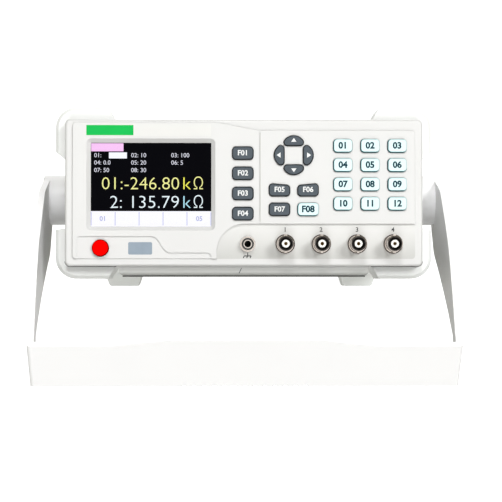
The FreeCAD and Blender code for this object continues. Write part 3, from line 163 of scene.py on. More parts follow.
def surface(name, values, tones, patch, rough, grain, bump):
    """Material whose colour drifts between two tones in patches, with a finer grain in its roughness
    and relief. Patch, grain and bump are sizes in millimetres."""
    material, tree, shader = start_material(name, values)
    shade, light = tones
    place = add(tree, "TexCoord").outputs["Object"]
    cloud = add(tree, "TexNoise", {"Vector": place, "Scale": per_mm(patch), "Detail": 3.0})
    drift = {MIX_SHARE: cloud.outputs["Fac"], MIX_LOW: linear(shade), MIX_HIGH: linear(light)}
    tone = add(tree, "Mix", drift, data_type="RGBA")
    tree.links.new(tone.outputs[MIX_RESULT], shader.inputs["Base Color"])
    fine = add(tree, "TexNoise", {"Vector": place, "Scale": per_mm(grain), "Detail": 2.0})
    spread = {"Value": fine.outputs["Fac"], "To Min": rough[0], "To Max": rough[1]}
    gloss = add(tree, "MapRange", spread)
    tree.links.new(gloss.outputs["Result"], shader.inputs["Roughness"])
    relief = add(tree, "Bump", {"Height": fine.outputs["Fac"], "Distance": bump * MM, "Strength": 0.5})
    tree.links.new(relief.outputs["Normal"], shader.inputs["Normal"])
    return material


def fade(material, other, measure, limits):
    """Keeps a material's colour where a measure is at its second limit, and fades to another colour
    towards the first."""
    tree = material.node_tree
    base = tree.nodes["Principled BSDF"].inputs["Base Color"]
    spread = {"Value": measure, "From Min": limits[0], "From Max": limits[1]}
    share = add(tree, "MapRange", spread).outputs["Result"]
    ends = {MIX_SHARE: share, MIX_LOW: other, MIX_HIGH: base.links[0].from_socket}
    tree.links.new(add(tree, "Mix", ends, data_type="RGBA").outputs[MIX_RESULT], base)


def by_facing(material, edge, limits, toward):
    """Keeps the colour on faces turned toward a direction and fades to an edge colour on the others."""
    tree = material.node_tree
    normal = add(tree, "TexCoord").outputs["Normal"]
    facing = add(tree, "VectorMath", {0: normal, 1: tuple(toward)}, operation="DOT_PRODUCT")
    fade(material, linear(edge), facing.outputs["Value"], limits)


def moulded_abs(name, tones):
    """ABS from a spark-eroded mould: satin, with an even grain that softens its highlights.
    The real grain is near 0.1 mm, drawn three times as coarse so that it shows."""
    values = {"IOR": ABS_IOR}
    return surface(name, values, tones, patch=38.0, rough=(0.40, 0.56), grain=FINE_GRAIN, bump=0.02)


def bezel_moulding():
    """The front's ABS, moulded in the same way: satin white, with painted shade that greys the lip under
    its rim and the floor round the jacks, the floor's shade darkening downwards."""
    material = moulded_abs("bezel_abs", ("B6B6B6", "BABABA"))
    tree = material.node_tree
    place = add(tree, "TexCoord").outputs["Object"]
    height = add(tree, "VectorMath", {0: place, 1: tuple(UP)}, operation="DOT_PRODUCT").outputs["Value"]
    depth = add(tree, "VectorMath", {0: place, 1: tuple(INTO)}, operation="DOT_PRODUCT").outputs["Value"]
    # Painted shade: the lip under the rim fades to grey
    fade(material, linear("959694"), height, [panel(0, 0, z).dot(UP) for z in LIP_SHADE_FADE])
    # Painted shade on the recess floor, darker towards the bottom
    low, high = [panel(0, 0, z).dot(UP) for z in FLOOR_SHADE_FADE]
    climb = add(tree, "MapRange", {"Value": height, "From Min": low, "From Max": high}).outputs["Result"]
    ends = {MIX_SHARE: climb, MIX_LOW: linear("A6A6A4"), MIX_HIGH: linear("B9B9B8")}
    floor = add(tree, "Mix", ends, data_type="RGBA").outputs[MIX_RESULT]
    level = panel(0, RECESS_DEPTH, 0).dot(INTO)
    on_shaded_floor = add(tree, "Math", {0: depth, 1: level, 2: SHADED_FLOOR_BAND * MM}, operation="COMPARE")
    # The measure is 1 on the floor, which takes the floor's painted shade, and 0 elsewhere
    fade(material, floor, on_shaded_floor.outputs["Value"], (1.0, 0.0))
    return material


def powder_coat():
    """Polyester powder on steel sheet: low gloss, with the slight orange peel of the cured coat."""
    values = {"IOR": 1.50}
    tones = ("CFD1D0", "D9DBDA")
    return surface(
        "powder_coated_steel", values, tones, patch=60.0, rough=(0.44, 0.60), grain=0.9, bump=0.04)


def slate_abs():
    """Dark ABS key caps from a textured mould: satin face, near black on the rounded edges where less
    light comes back. The grain is drawn coarser, as on the case."""
    values = {"IOR": ABS_IOR, "Specular IOR Level": 0.3}
    tones = ("2E363D", "39424A")
    material = surface(
        "slate_abs", values, tones, patch=3.0, rough=(0.38, 0.54), grain=FINE_GRAIN, bump=0.015)
    by_facing(material, "101519", limits=(0.80, 0.99), toward=OUT)
    return material


def coated_silicone():
    """Silicone key: white face with painted shade in dark teal on its edges, leaning to the left and lower
    edges as if lit from the upper right. The surface grain is drawn coarser so that it shows."""
    values = {"IOR": 1.45}
    tones = ("B5CED0", "BDD5D7")
    material = surface(
        "white_coated_silicone", values, tones, patch=5.0, rough=(0.42, 0.56), grain=FINE_GRAIN, bump=0.015)
    # Faces turned toward the lit side stay white and the others fade to the painted shade
    rightward, upward = PAINTED_SHADE_LEAN
    lit_direction = (OUT + ACROSS * rightward + UP * upward).normalized()
    by_facing(material, "2F5A61", limits=(0.55, 0.86), toward=lit_direction)
    return material


def red_cap():
    """Red ABS push cap from a smooth mould: dense pigment under a weak, even sheen, with painted shade in
    deeper red on the rounded edge. The slight grain is drawn coarser so that it shows."""
    values = {"IOR": ABS_IOR, "Specular IOR Level": 0.0}
    tones = ("D00000", "DA0401")
    material = surface("red_abs", values, tones, patch=4.0, rough=(0.30, 0.42), grain=0.4, bump=0.004)
    by_facing(material, "860302", limits=(0.45, 0.97), toward=OUT)
    return material


def soft_cover():
    """Grey-blue elastomer plug, moulded: matt, slightly dusty, its grain drawn coarser."""
    values = {"IOR": 1.48, "Specular IOR Level": 0.2}
    tones = ("74808C", "808C98")
    return surface(
        "grey_blue_elastomer", values, tones, patch=5.0, rough=(0.55, 0.70), grain=FINE_GRAIN, bump=0.02)


def nickel_plate():
    """Bright nickel over turned brass: warm grey metal whose gloss varies finely from the turning
    marks, which are drawn coarser so that they show."""
    values = {"Metallic": 1.0}
    tones = ("B4ABA3", "D0C8C1")
    return surface(
        "nickel_plated_brass", values, tones, patch=2.5, rough=(0.14, 0.30), grain=0.35, bump=0.006)


def plain_polymer(name, tones, rough):
    """Small moulded polymer piece with a soft sheen and slight drift in tone, its grain drawn coarser."""
    return surface(name, {"IOR": 1.45}, tones, patch=4.0, rough=rough, grain=FINE_GRAIN, bump=0.008)


def gold_flash():
    """Thin gold over spring bronze, its colour darkened to a dull brown as painted shade, because the
    contacts sit deep in their holes. The wear marks are drawn coarser so that they show."""
    values = {"Metallic": 1.0}
    tones = ("4C3513", "674A1F")
    return surface(
        "gold_flashed_bronze", values, tones, patch=1.5, rough=(0.26, 0.40), grain=FINE_GRAIN, bump=0.004)


def zinc_steel():
    """Zinc-plated screws: cool grey metal, faintly clouded, the plating's grain drawn coarser."""
    values = {"Metallic": 1.0}
    tones = ("86898B", "A5A8AA")
    return surface(
        "zinc_plated_steel", values, tones, patch=1.8, rough=(0.26, 0.42), grain=FINE_GRAIN, bump=0.006)


def fibreglass_board():
    """Solder-masked board: green gloss, slightly uneven over the threads of the glass cloth."""
    values = {"IOR": 1.52}
    tones = ("0B3E22", "135A32")
    return surface(
        "solder_masked_board", values, tones, patch=3.0, rough=(0.25, 0.40), grain=0.8, bump=0.01)


def varnished_core():
    """Varnished steel laminations: dark brown, and uneven as the stacked sheets' edges leave it."""
    values = {"IOR": 1.52}
    tones = ("241E19", "3E342C")
    return surface(
        "varnished_laminations", values, tones, patch=2.0, rough=(0.30, 0.50), grain=0.6, bump=0.05)


def display_glass():
    """Anti-reflection cover glass over an unlit liquid-crystal panel: black, with hardly any sheen.
    The coat's fine grain is drawn coarser so that it shows."""
    values = {"IOR": 1.51, "Specular IOR Level": 0.02}
    tones = ("010103", "030306")
    return surface("display_glass", values, tones, patch=14.0, rough=(0.20, 0.28), grain=0.6, bump=0.001)


def lit_pixels(name, colour):
    """Lit picture elements: light of their own colour, a little stronger at the middle of each dot.
    The dots are 0.23 mm apart, drawn at twice that and scattered, so that they show close up."""
    values = {"Base Color": linear("101014"), "Roughness": 0.35, "Emission Strength": 1.0}
    material, tree, shader = start_material(name, values)
    place = add(tree, "TexCoord").outputs["Object"]
    dots = add(tree, "TexVoronoi", {"Vector": place, "Scale": per_mm(DOT_PITCH)})
    spread = {"Value": dots.outputs["Distance"], "To Min": DOT_LIGHT[0], "To Max": DOT_LIGHT[1]}
    level = add(tree, "MapRange", spread).outputs["Result"]
    shine = add(tree, "VectorMath", {0: linear(colour)[:3], "Scale": level}, operation="SCALE")
    tree.links.new(shine.outputs["Vector"], shader.inputs["Emission Color"])
    return material


def screen_ink(name, tones):
    """Screen-printed ink: flat and dense, a touch uneven where the mesh laid it down. The mesh is
    drawn coarser so that it shows."""
    values = {"IOR": 1.48, "Specular IOR Level": 0.15}
    return surface(name, values, tones, patch=1.6, rough=(0.48, 0.62), grain=FINE_GRAIN, bump=0.004)


def label_film(name, tones):
    """Printed polyester label: smooth film with an anti-glare finish, so its colour stays full. The
    finish's grain is drawn coarser so that it shows."""
    values = {"IOR": 1.58, "Specular IOR Level": 0.12}
    return surface(name, values, tones, patch=12.0, rough=(0.32, 0.42), grain=0.4, bump=0.004)


def studio_floor():
    """Opal acrylic of a light table: glows evenly, so shadows on it stay faint."""
    values = {"Specular IOR Level": 0.0, "Emission Color": linear("FFFFFF"), "Emission Strength": 1.0}
    tones = ("989898", "9C9C9C")
    return surface("opal_acrylic", values, tones, patch=300.0, rough=(0.85, 0.95), grain=2.0, bump=0.01)


bezel_abs = bezel_moulding()
bumper_abs = moulded_abs("bumper_abs", ("CDCFCE", "D3D4D4"))
boss_abs = moulded_abs("boss_abs", ("EFEFED", "F4F4F2"))
handle_abs = moulded_abs("handle_abs", ("DADADC", "DEDEE0"))
case_paint = powder_coat()
slate = slate_abs()
white_key = coated_silicone()
nickel = nickel_plate()
gold = gold_flash()
# Black PBT for the parts, also used as painted shade in the screws' cross recesses
black_and_recess_shade = plain_polymer("black_pbt_with_recess_shade", ("0D0D0E", "151517"), (0.36, 0.52))
white_ink = screen_ink("white_ink", ("C3C4C5", "D2D3D3"))
teal_ink = screen_ink("teal_ink", ("042631", "06303E"))
grey_ink = screen_ink("grey_ink", ("303032", "3F3F40"))
# Painted shade in the groove at the left of the keys, drawn as a grey line
groove_painted_shade = screen_ink("groove_painted_shade", ("A1A19D", "A9A9A5"))
zinc = zinc_steel()
board = fibreglass_board()
# Brown for the painted shade inside the jacks, also used for the dark rings on their collars
brown_and_painted_shade = plain_polymer("dark_brown_and_painted_shade", ("1A110B", "261B14"), (0.45, 0.60))
# Black for the ground terminal's ring and for painted shade: shadow lines under the front, inside the
# ground bore and in the fuse slot
black_and_painted_shade = plain_polymer("matt_black_and_painted_shade", ("131412", "1D1E1C"), (0.60, 0.75))

NODE_FINISH = {
    "front_bezel": bezel_abs,
    "display_window": display_glass(),
    "display_module": black_and_recess_shade,
    "key_mat": plain_polymer("black_silicone", ("18181A", "222224"), (0.60, 0.75)),
    "key_board": board,
    "power_button": red_cap(),
    "power_switch": black_and_recess_shade,
    "port_cover": soft_cover(),
    "front_port": nickel,
    "jack_insulators": plain_polymer("white_ptfe", ("CDCDC9", "D6D6D2"), (0.40, 0.52)),
    "jack_contacts": gold,
    "jack_nuts": nickel,
    "ground_terminal": nickel,
    "chassis_tray": case_paint,
    "top_cover": case_paint,
    "rear_panel": case_paint,
    "power_inlet": black_and_recess_shade,
    "fuse_holder": black_and_recess_shade,
    "serial_port": nickel,
    "rear_screws": zinc,
    "main_board": board,
    "mains_transformer": varnished_core(),
    "pivot_screws": zinc,
}
FAMILY_FINISH = {
    "handle": handle_abs,
    "hub_cap": handle_abs,
    "front_bumper": bumper_abs,
    "rear_bumper": bumper_abs,
    "pivot_boss": boss_abs,
    "coaxial_jack": nickel,
    "pad_key": white_key,
    "action_key_4": white_key,
    "action_key": slate,
    "soft_key": slate,
    "arrow_key": slate,
}


def node_finish(name):
    """Finish of a node, by its name or by the first family that its name starts with."""
    if name in NODE_FINISH:
        return NODE_FINISH[name]
    return next(finish for start, finish in FAMILY_FINISH.items() if name.startswith(start))


for name, piece in nodes.items():
    for material_slot in piece.material_slots:
        material_slot.material = node_finish(name)


# Drawing on the panel: a digit's share of its font's size, steps along curves, and the welding distance
DIGIT_SHARE = 0.72
LETTER_STEPS = 3
CORNER_STEPS = 5
SMALL_CORNER_STEPS = 2
SHARP_STEPS = 1
RING_STEPS = 40
WELD = 0.001


def add_prism(build, points, rises):
    """Closed prism over a flat outline, from one rise to another."""
    low, high = rises
    bottom = [build.verts.new((x, z, low)) for x, z in points]
    top = [build.verts.new((x, z, high)) for x, z in points]
    build.faces.new(list(reversed(bottom)))
    build.faces.new(top)
    for index in range(len(points)):
        follow = (index + 1) % len(points)
        build.faces.new((bottom[index], bottom[follow], top[follow], top[index]))


def add_plate(build, across, up, radius, rises, steps=CORNER_STEPS):
    """Plate with round corners between two places across the panel and two up it."""
    left, right = across
    low, high = up
    points = []
    corners = [(right, high, 0), (left, high, 90), (left, low, 180), (right, low, 270)]
    for x, z, start in corners:
        centre_x = x - math.copysign(radius, x - (left + right) / 2)
        centre_z = z - math.copysign(radius, z - (low + high) / 2)
        for step in range(steps + 1):
            angle = math.radians(start + 90 * step / steps)
            points.append((centre_x + radius * math.cos(angle), centre_z + radius * math.sin(angle)))
    add_prism(build, points, rises)


def add_stroke(build, start, end, width, rises):
    """Straight line of a width between two points."""
    along = Vector(end) - Vector(start)
    side = Vector((-along.y, along.x)).normalized() * width / 2
    ends = (Vector(start) - side, Vector(end) - side, Vector(end) + side, Vector(start) + side)
    add_prism(build, [tuple(point) for point in ends], rises)


def circle(x, z, radius):
    """Points round a circle, counter-clockwise."""
    turns = [math.tau * step / RING_STEPS for step in range(RING_STEPS)]
    return [(x + radius * math.cos(turn), z + radius * math.sin(turn)) for turn in turns]


def add_ring(build, x, z, radii, rises):
    """Ring round a point, from an inner to an outer radius and from one rise to another."""
    inner, outer = radii
    low, high = rises
    rows = []
    for radius, rise in ((inner, low), (outer, low), (outer, high), (inner, high)):
        rows.append([build.verts.new((across, up, rise)) for across, up in circle(x, z, radius)])
    for row, other in zip(rows, rows[1:] + rows[:1]):
        for step in range(RING_STEPS):
            follow = (step + 1) % RING_STEPS
            build.faces.new((row[step], row[follow], other[follow], other[step]))


def add_text(build, text, height, x, z, rises, align="CENTER", weight=0.0, width=None):
    """Lettering of a digit height as closed thin solids between two rises, with its middle height at z
    and its middle, or the end that align names, at x. Weight thickens or thins the strokes, and a
    width stretches the line to that length."""
    low, high = rises
    size = height / DIGIT_SHARE
    curve = bpy.data.curves.new("lettering", "FONT")
    curve.body = text
    curve.align_x = align
    curve.align_y = "CENTER"
    curve.resolution_u = LETTER_STEPS
    curve.offset = weight / size
    curve.extrude = (high - low) / 2 / size
    holder = bpy.data.objects.new("lettering", curve)
    mesh = bpy.data.meshes.new_from_object(holder)
    stretch = 1.0
    if width:
        reach = [vertex.co.x for vertex in mesh.vertices]
        stretch = width / size / (max(reach) - min(reach))
    scale = Matrix.Diagonal((size * stretch, size, size, 1))
    mesh.transform(Matrix.Translation((x, z, (low + high) / 2)) @ scale)
    build.from_mesh(mesh)
    bpy.data.objects.remove(holder)
    bpy.data.curves.remove(curve)
    bpy.data.meshes.remove(mesh)


def on_panel(name, depth, draw, finish, body):
    """New piece drawn in millimetres on a plane of the panel, riding on a body."""
    build = bmesh.new()
    draw(build)
    bmesh.ops.remove_doubles(build, verts=build.verts, dist=WELD)
    bmesh.ops.recalc_face_normals(build, faces=build.faces)
    build.transform(panel_matrix(depth))
    mesh = bpy.data.meshes.new(name)
    build.to_mesh(mesh)
    build.free()
    mesh.materials.append(finish)
    piece = bpy.data.objects.new(name, mesh)
    bpy.context.scene.collection.objects.link(piece)
    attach(piece, body)


# Display picture: a bare tab, rows of small numbers, two large readings and a row of soft-key fields.
# Drops and rows count from the picture's top, gaps from its right edge, and other places from its left.
FIELD_RISES = (0, 0.04)
TEXT_RISES = (0, 0.08)
MARK_RISES = (0.04, 0.08)
PIXEL_CORNER = 0.1
TAB_LEFT = 0.2
TAB_DROP = 0.3
TAB_RIGHT = 19.9
TAB_HEIGHT = 4.9
FIELD_LEFT = 11.0
FIELD_WIDTH = 11.0
FIELD_HEIGHT = 3.7
SMALL_DIGIT = 2.7
SMALL_ROWS = (7.7, 12.2, 16.8)
SMALL_COLUMNS = (1.9, 24.5, 49.0)
SMALL_TEXTS = (
    ("01:", "02: 10", "03: 100"),
    ("04: 0.0", "05: 20", "06: 5"),
    ("07: 50", "08: 30", ""),
)
LARGE_DIGIT = 7.9
LARGE_WEIGHT = -0.13
UPPER_DROP = 25.2
LOWER_DROP = 36.6
NUMBER_GAP = 19.2
UPPER_NUMBER_WIDTH = 47.2
LOWER_NUMBER_WIDTH = 42.0
PREFIX_GAP = 12.4
PREFIX_WIDTH = 4.6
UNIT_GAP = 4.5
UNIT_WIDTH = 5.6
BAR_HEIGHT = 9.4
BAR_FIELDS = 5
BAR_LINE = 0.45
BAR_LINE_CORNER = 0.05
BAR_LINE_MARGIN = 0.6
BAR_DIGIT = 2.9
BAR_WEIGHT = 0.10

# The picture fills the window apart from the edge that laps behind the front
WINDOW_LAP = 3.0
window_low, window_high = panel_box("display_window")
SCREEN_LEFT = window_low[0] + WINDOW_LAP
SCREEN_RIGHT = window_high[0] - WINDOW_LAP
SCREEN_LOW = window_low[2] + WINDOW_LAP
SCREEN_HIGH = window_high[2] - WINDOW_LAP
SCREEN_DEPTH = window_low[1]


def draw_tab(build):
    top = SCREEN_HIGH - TAB_DROP
    across = (SCREEN_LEFT + TAB_LEFT, SCREEN_LEFT + TAB_RIGHT)
    add_plate(build, across, (top - TAB_HEIGHT, top), PIXEL_CORNER, FIELD_RISES, SHARP_STEPS)


def draw_field(build):
    left = SCREEN_LEFT + FIELD_LEFT
    middle = SCREEN_HIGH - SMALL_ROWS[0]
    up = (middle - FIELD_HEIGHT / 2, middle + FIELD_HEIGHT / 2)
    add_plate(build, (left, left + FIELD_WIDTH), up, PIXEL_CORNER, FIELD_RISES, SHARP_STEPS)


def draw_small_text(build):
    for drop, texts in zip(SMALL_ROWS, SMALL_TEXTS):
        for column, text in zip(SMALL_COLUMNS, texts):
            if text:
                x = SCREEN_LEFT + column
                add_text(build, text, SMALL_DIGIT, x, SCREEN_HIGH - drop, TEXT_RISES, "LEFT")


def add_large_text(build, text, drop, gap, width):
    """Large lettering, its right end at a gap from the picture's edge."""
    x = SCREEN_RIGHT - gap
    add_text(build, text, LARGE_DIGIT, x, SCREEN_HIGH - drop, TEXT_RISES, "RIGHT", LARGE_WEIGHT, width)


def reading(number, width, drop):
    """Drawing of a large number and its unit on one line."""
    def draw(build):
        add_large_text(build, number, drop, NUMBER_GAP, width)
        add_large_text(build, "Ω", drop, UNIT_GAP, UNIT_WIDTH)
    return draw


def prefix(drop):
    """Drawing of the prefix between a number and its unit, lit in another colour."""
    def draw(build):
        add_large_text(build, "k", drop, PREFIX_GAP, PREFIX_WIDTH)
    return draw


def draw_bar(build):
    up = (SCREEN_LOW, SCREEN_LOW + BAR_HEIGHT)
    add_plate(build, (SCREEN_LEFT, SCREEN_RIGHT), up, PIXEL_CORNER, FIELD_RISES, SHARP_STEPS)


def draw_bar_marks(build):
    """Lines between the fields and, inside the bar, at its ends, and a number on its two end fields."""
    width = SCREEN_RIGHT - SCREEN_LEFT
    up = (SCREEN_LOW + BAR_LINE_MARGIN, SCREEN_LOW + BAR_HEIGHT - BAR_LINE_MARGIN)
    for index in range(BAR_FIELDS + 1):
        left = SCREEN_LEFT + (width - BAR_LINE) * index / BAR_FIELDS
        add_plate(build, (left, left + BAR_LINE), up, BAR_LINE_CORNER, MARK_RISES, SHARP_STEPS)
    z = SCREEN_LOW + BAR_HEIGHT / 2
    for index in (0, BAR_FIELDS - 1):
        x = SCREEN_LEFT + width * (index + 0.5) / BAR_FIELDS
        add_text(build, f"0{index + 1}", BAR_DIGIT, x, z, MARK_RISES, weight=BAR_WEIGHT)


upper_reading = reading("01:-246.80", UPPER_NUMBER_WIDTH, UPPER_DROP)
lower_reading = reading("2: 135.79", LOWER_NUMBER_WIDTH, LOWER_DROP)
PICTURE = (
    ("screen_tab", draw_tab, lit_pixels("pink_pixels", "F4BDF1")),
    ("screen_field", draw_field, lit_pixels("white_pixels", "F4F6FF")),
    ("screen_small_numbers", draw_small_text, lit_pixels("pale_pixels", "DCDDEA")),
    ("screen_upper_reading", upper_reading, lit_pixels("yellow_pixels", "ECEB8C")),
    ("screen_lower_reading", lower_reading, lit_pixels("ice_pixels", "E3F1F6")),
    ("screen_upper_prefix", prefix(UPPER_DROP), lit_pixels("lemon_pixels", "F0EE3C")),
    ("screen_lower_prefix", prefix(LOWER_DROP), lit_pixels("sky_pixels", "A5DDEE")),
    ("screen_bar", draw_bar, lit_pixels("bar_pixels", "F6F6FE")),
    ("screen_bar_marks", draw_bar_marks, lit_pixels("lavender_pixels", "A9AEDA")),
)
for name, draw, finish in PICTURE:
    on_panel(name, SCREEN_DEPTH, draw, finish, "case")


# Label strip over the display: plain film with a plain green field
LABEL_LEFT = -96.3
LABEL_RIGHT = -20.2
LABEL_LOW = 35.0
LABEL_HIGH = 42.4
LABEL_CORNER = 0.6
LABEL_RISE = 0.12
GREEN_MARGIN = 0.1
GREEN_RIGHT = -67.5
GREEN_INSET = 0.6
GREEN_CORNER = 0.2
GREEN_RISE = 0.16


def draw_label(build):
    add_plate(build, (LABEL_LEFT, LABEL_RIGHT), (LABEL_LOW, LABEL_HIGH), LABEL_CORNER, (0, LABEL_RISE))


def draw_green(build):
    across = (LABEL_LEFT + GREEN_MARGIN, GREEN_RIGHT)
    up = (LABEL_LOW + GREEN_INSET, LABEL_HIGH - GREEN_INSET)
    add_plate(build, across, up, GREEN_CORNER, (LABEL_RISE, GREEN_RISE))


white_film = label_film("label_film", ("BCBCBB", "C1C1BF"))
green_film = label_film("green_film", ("00953E", "019E44"))
on_panel("label_strip", 0, draw_label, white_film, "case")
on_panel("label_field", 0, draw_green, green_film, "case")


# Legends on the keys: white on the dark keys, teal on the white ones, and triangles on the arrow keys
LEGEND_RISES = (0, 0.05)
DARK_DIGIT = 3.2
DARK_WEIGHT = 0.10
PAD_DIGIT = 3.9
PAD_WEIGHT = 0.22
TRIANGLE_HALF = 1.6
TRIANGLE_HEIGHT = 2.3
ARROW_TURNS = {"up": 0, "left": 90, "down": 180, "right": 270}
LEGENDS = {f"soft_key_{number}": f"F0{number}" for number in range(1, 5)}
LEGENDS |= {f"action_key_{number}": f"F0{number + 4}" for number in range(1, 5)}
LEGENDS |= {f"pad_key_{number}": f"{number:02}" for number in range(1, 13)}


def key_number(node, text):
    """Drawing of a key's number in the middle of its face."""
    x, z = node_middle(node)
    white = node_finish(node) is white_key
    height, weight = (PAD_DIGIT, PAD_WEIGHT) if white else (DARK_DIGIT, DARK_WEIGHT)

    def draw(build):
        add_text(build, text, height, x, z, LEGEND_RISES, weight=weight)
    return draw


def key_arrow(node, turn):
    """Drawing of a triangle in the middle of a key's face, which points up at a turn of 0 degrees."""
    x, z = node_middle(node)
    foot = -TRIANGLE_HEIGHT / 3
    corners = ((-TRIANGLE_HALF, foot), (TRIANGLE_HALF, foot), (0, foot + TRIANGLE_HEIGHT))
    cosine = math.cos(math.radians(turn))
    sine = math.sin(math.radians(turn))
    points = []
    for across, up in corners:
        points.append((x + across * cosine - up * sine, z + across * sine + up * cosine))

    def draw(build):
        add_prism(build, points, LEGEND_RISES)
    return draw


def print_legend(node, draw):
    """Puts a legend on a key's face, to move with the key."""
    white = node_finish(node) is white_key
    ink = teal_ink if white else white_ink
    on_panel(f"legend_{node}", -front_rise(node), draw, ink, node)


for node, text in LEGENDS.items():
    print_legend(node, key_number(node, text))
for side, turn in ARROW_TURNS.items():
    node = f"arrow_key_{side}"
    print_legend(node, key_arrow(node, turn))


# Sockets: painted shade as a dark sleeve and floor inside each jack, a dark ring on each jack's collar, a
# black ring with a metal eyelet on the ground terminal and painted shade inside its bore, and the numbers
# and ground sign printed at them. The jack's bore, collar and insulator have the solids' own sizes.
JACKS = tuple(f"coaxial_jack_{number}" for number in range(1, 5))
JACK_UP = node_middle("jack_insulators")[1]
JACK_BORE = 4.1
SLEEVE_WALL = 0.12
SLEEVE_FIT = 0.02
JACK_MOUTH_BEVEL = 0.3
INSULATOR_OUTER = 2.35
BORE_DEPTH = 8.6
MOUTH_OUTER = 4.5
MOUTH_RISE = 0.05
COLLAR_RING_RADII = (5.3, 5.95)
COLLAR_RING_THICKNESS = 0.12
COLLAR_LENGTH = 2.2
BLACK_RING_RADII = (2.02, 3.7)
BLACK_RING_RISE = 0.12
EYELET_RADII = (2.1, 2.6)
EYELET_RISE = 0.2
GROUND_SHADE_OUTER = 1.98
GROUND_SHADE_WALL = 0.06
GROUND_SHADE_DEPTH = 12.0
PRINT_RISES = (0, 0.03)
JACK_DIGIT = 2.8
JACK_WEIGHT = 0.06
JACK_NUMBER_LIFT = 8.7
SIGN_DROP = 5.2
SIGN_STEM = 2.0
SIGN_HALF = 2.1
SIGN_LINE = 0.55
SIGN_LEG = 1.3


# Painted shade inside each jack: a dark sleeve, its floor and a ring at its mouth
def draw_jack_sleeves(build):
    outer = JACK_BORE - SLEEVE_FIT
    inner = outer - SLEEVE_WALL
    for node in JACKS:
        x, _ = node_middle(node)
        mouth = front_rise(node)
        floor = mouth - BORE_DEPTH
        add_ring(build, x, JACK_UP, (inner, outer), (floor, mouth - JACK_MOUTH_BEVEL))
        floor_radii = (INSULATOR_OUTER + SLEEVE_FIT, inner - SLEEVE_FIT)
        add_ring(build, x, JACK_UP, floor_radii, (floor, floor + SLEEVE_WALL))
        add_ring(build, x, JACK_UP, (outer, MOUTH_OUTER), (mouth, mouth + MOUTH_RISE))


# Dark ring on the front of each jack's collar
def draw_jack_washers(build):
    collar = COLLAR_LENGTH - RECESS_DEPTH
    for node in JACKS:
        x, _ = node_middle(node)
        add_ring(build, x, JACK_UP, COLLAR_RING_RADII, (collar, collar + COLLAR_RING_THICKNESS))


def draw_ground_insert(build):
    x, z = node_middle("ground_terminal")
    mouth = front_rise("ground_terminal")
    floor = mouth - GROUND_SHADE_DEPTH
    inner = GROUND_SHADE_OUTER - GROUND_SHADE_WALL
    add_ring(build, x, z, BLACK_RING_RADII, (mouth, mouth + BLACK_RING_RISE))
    # Painted shade: a dark sleeve and floor inside the terminal's bore
    add_ring(build, x, z, (inner, GROUND_SHADE_OUTER), (floor, mouth))
    add_prism(build, circle(x, z, inner - SLEEVE_FIT), (floor, floor + SLEEVE_WALL))


def draw_ground_eyelet(build):
    x, z = node_middle("ground_terminal")
    mouth = front_rise("ground_terminal")
    add_ring(build, x, z, EYELET_RADII, (mouth + BLACK_RING_RISE, mouth + EYELET_RISE))


def draw_jack_numbers(build):
    for number, node in enumerate(JACKS, 1):
        x, z = node_middle(node)
        add_text(build, str(number), JACK_DIGIT, x, z + JACK_NUMBER_LIFT, PRINT_RISES, weight=JACK_WEIGHT)


def draw_ground_sign(build):
    """Stem, bar and three slanting legs under the ground terminal."""
    x, z = node_middle("ground_terminal")
    top = z - SIGN_DROP
    bar = top - SIGN_STEM
    strokes = [((x, top), (x, bar)), ((x - SIGN_HALF, bar), (x + SIGN_HALF, bar))]
    for foot in (-SIGN_HALF, 0, SIGN_HALF):
        strokes.append(((x + foot, bar), (x + foot - SIGN_LEG / 2, bar - SIGN_LEG)))
    for start, end in strokes:
        add_stroke(build, start, end, SIGN_LINE, PRINT_RISES)


on_panel("jack_shade_sleeves", 0, draw_jack_sleeves, brown_and_painted_shade, "case")
on_panel("jack_collar_rings", 0, draw_jack_washers, brown_and_painted_shade, "case")
on_panel("ground_ring_and_shade", 0, draw_ground_insert, black_and_painted_shade, "case")
on_panel("ground_eyelet", 0, draw_ground_eyelet, nickel, "case")
on_panel("jack_numbers", RECESS_DEPTH, draw_jack_numbers, grey_ink, "case")
on_panel("ground_sign", RECESS_DEPTH, draw_ground_sign, grey_ink, "case")


# Lines on the front: painted shadow under the lip and round the rim's lower corners, the lip's seam, and
# painted shade in the groove at the left of the keys
LIP_HALF_WIDTH = 74.5
LIP_SHADOW = 0.7
LIP_SHADOW_CORNER = LIP_SHADOW / 3
LIP_SHADOW_RISES = (-12.0, -7.6)
RIM_OVER_LIP = 5.7
RIM_CORNER = 3.0
RIM_CORNER_STEPS = 6
RIM_SHADOW = 0.35
RIM_SHADOW_START = 78.5
RIM_SHADOW_RISES = (-11.6, -4.2)
LIP_FACE_DEPTH = 5.6
LINE_WIDTH = 0.45
KEY_GROOVE_PAINTED_SHADE = ((9.8, 37.4), (9.8, -17.2))
LIP_SEAM = ((-1.5, -45.3), (-3.0, -48.6))
bezel_low, bezel_high = panel_box("front_bezel")
BEZEL_SIDE = bezel_high[0]
BEZEL_FOOT = bezel_low[2]


def draw_lip_edge(build):
    across = (-LIP_HALF_WIDTH, LIP_HALF_WIDTH)
    up = (BEZEL_FOOT - LIP_SHADOW, BEZEL_FOOT)
    add_plate(build, across, up, LIP_SHADOW_CORNER, LIP_SHADOW_RISES, SMALL_CORNER_STEPS)


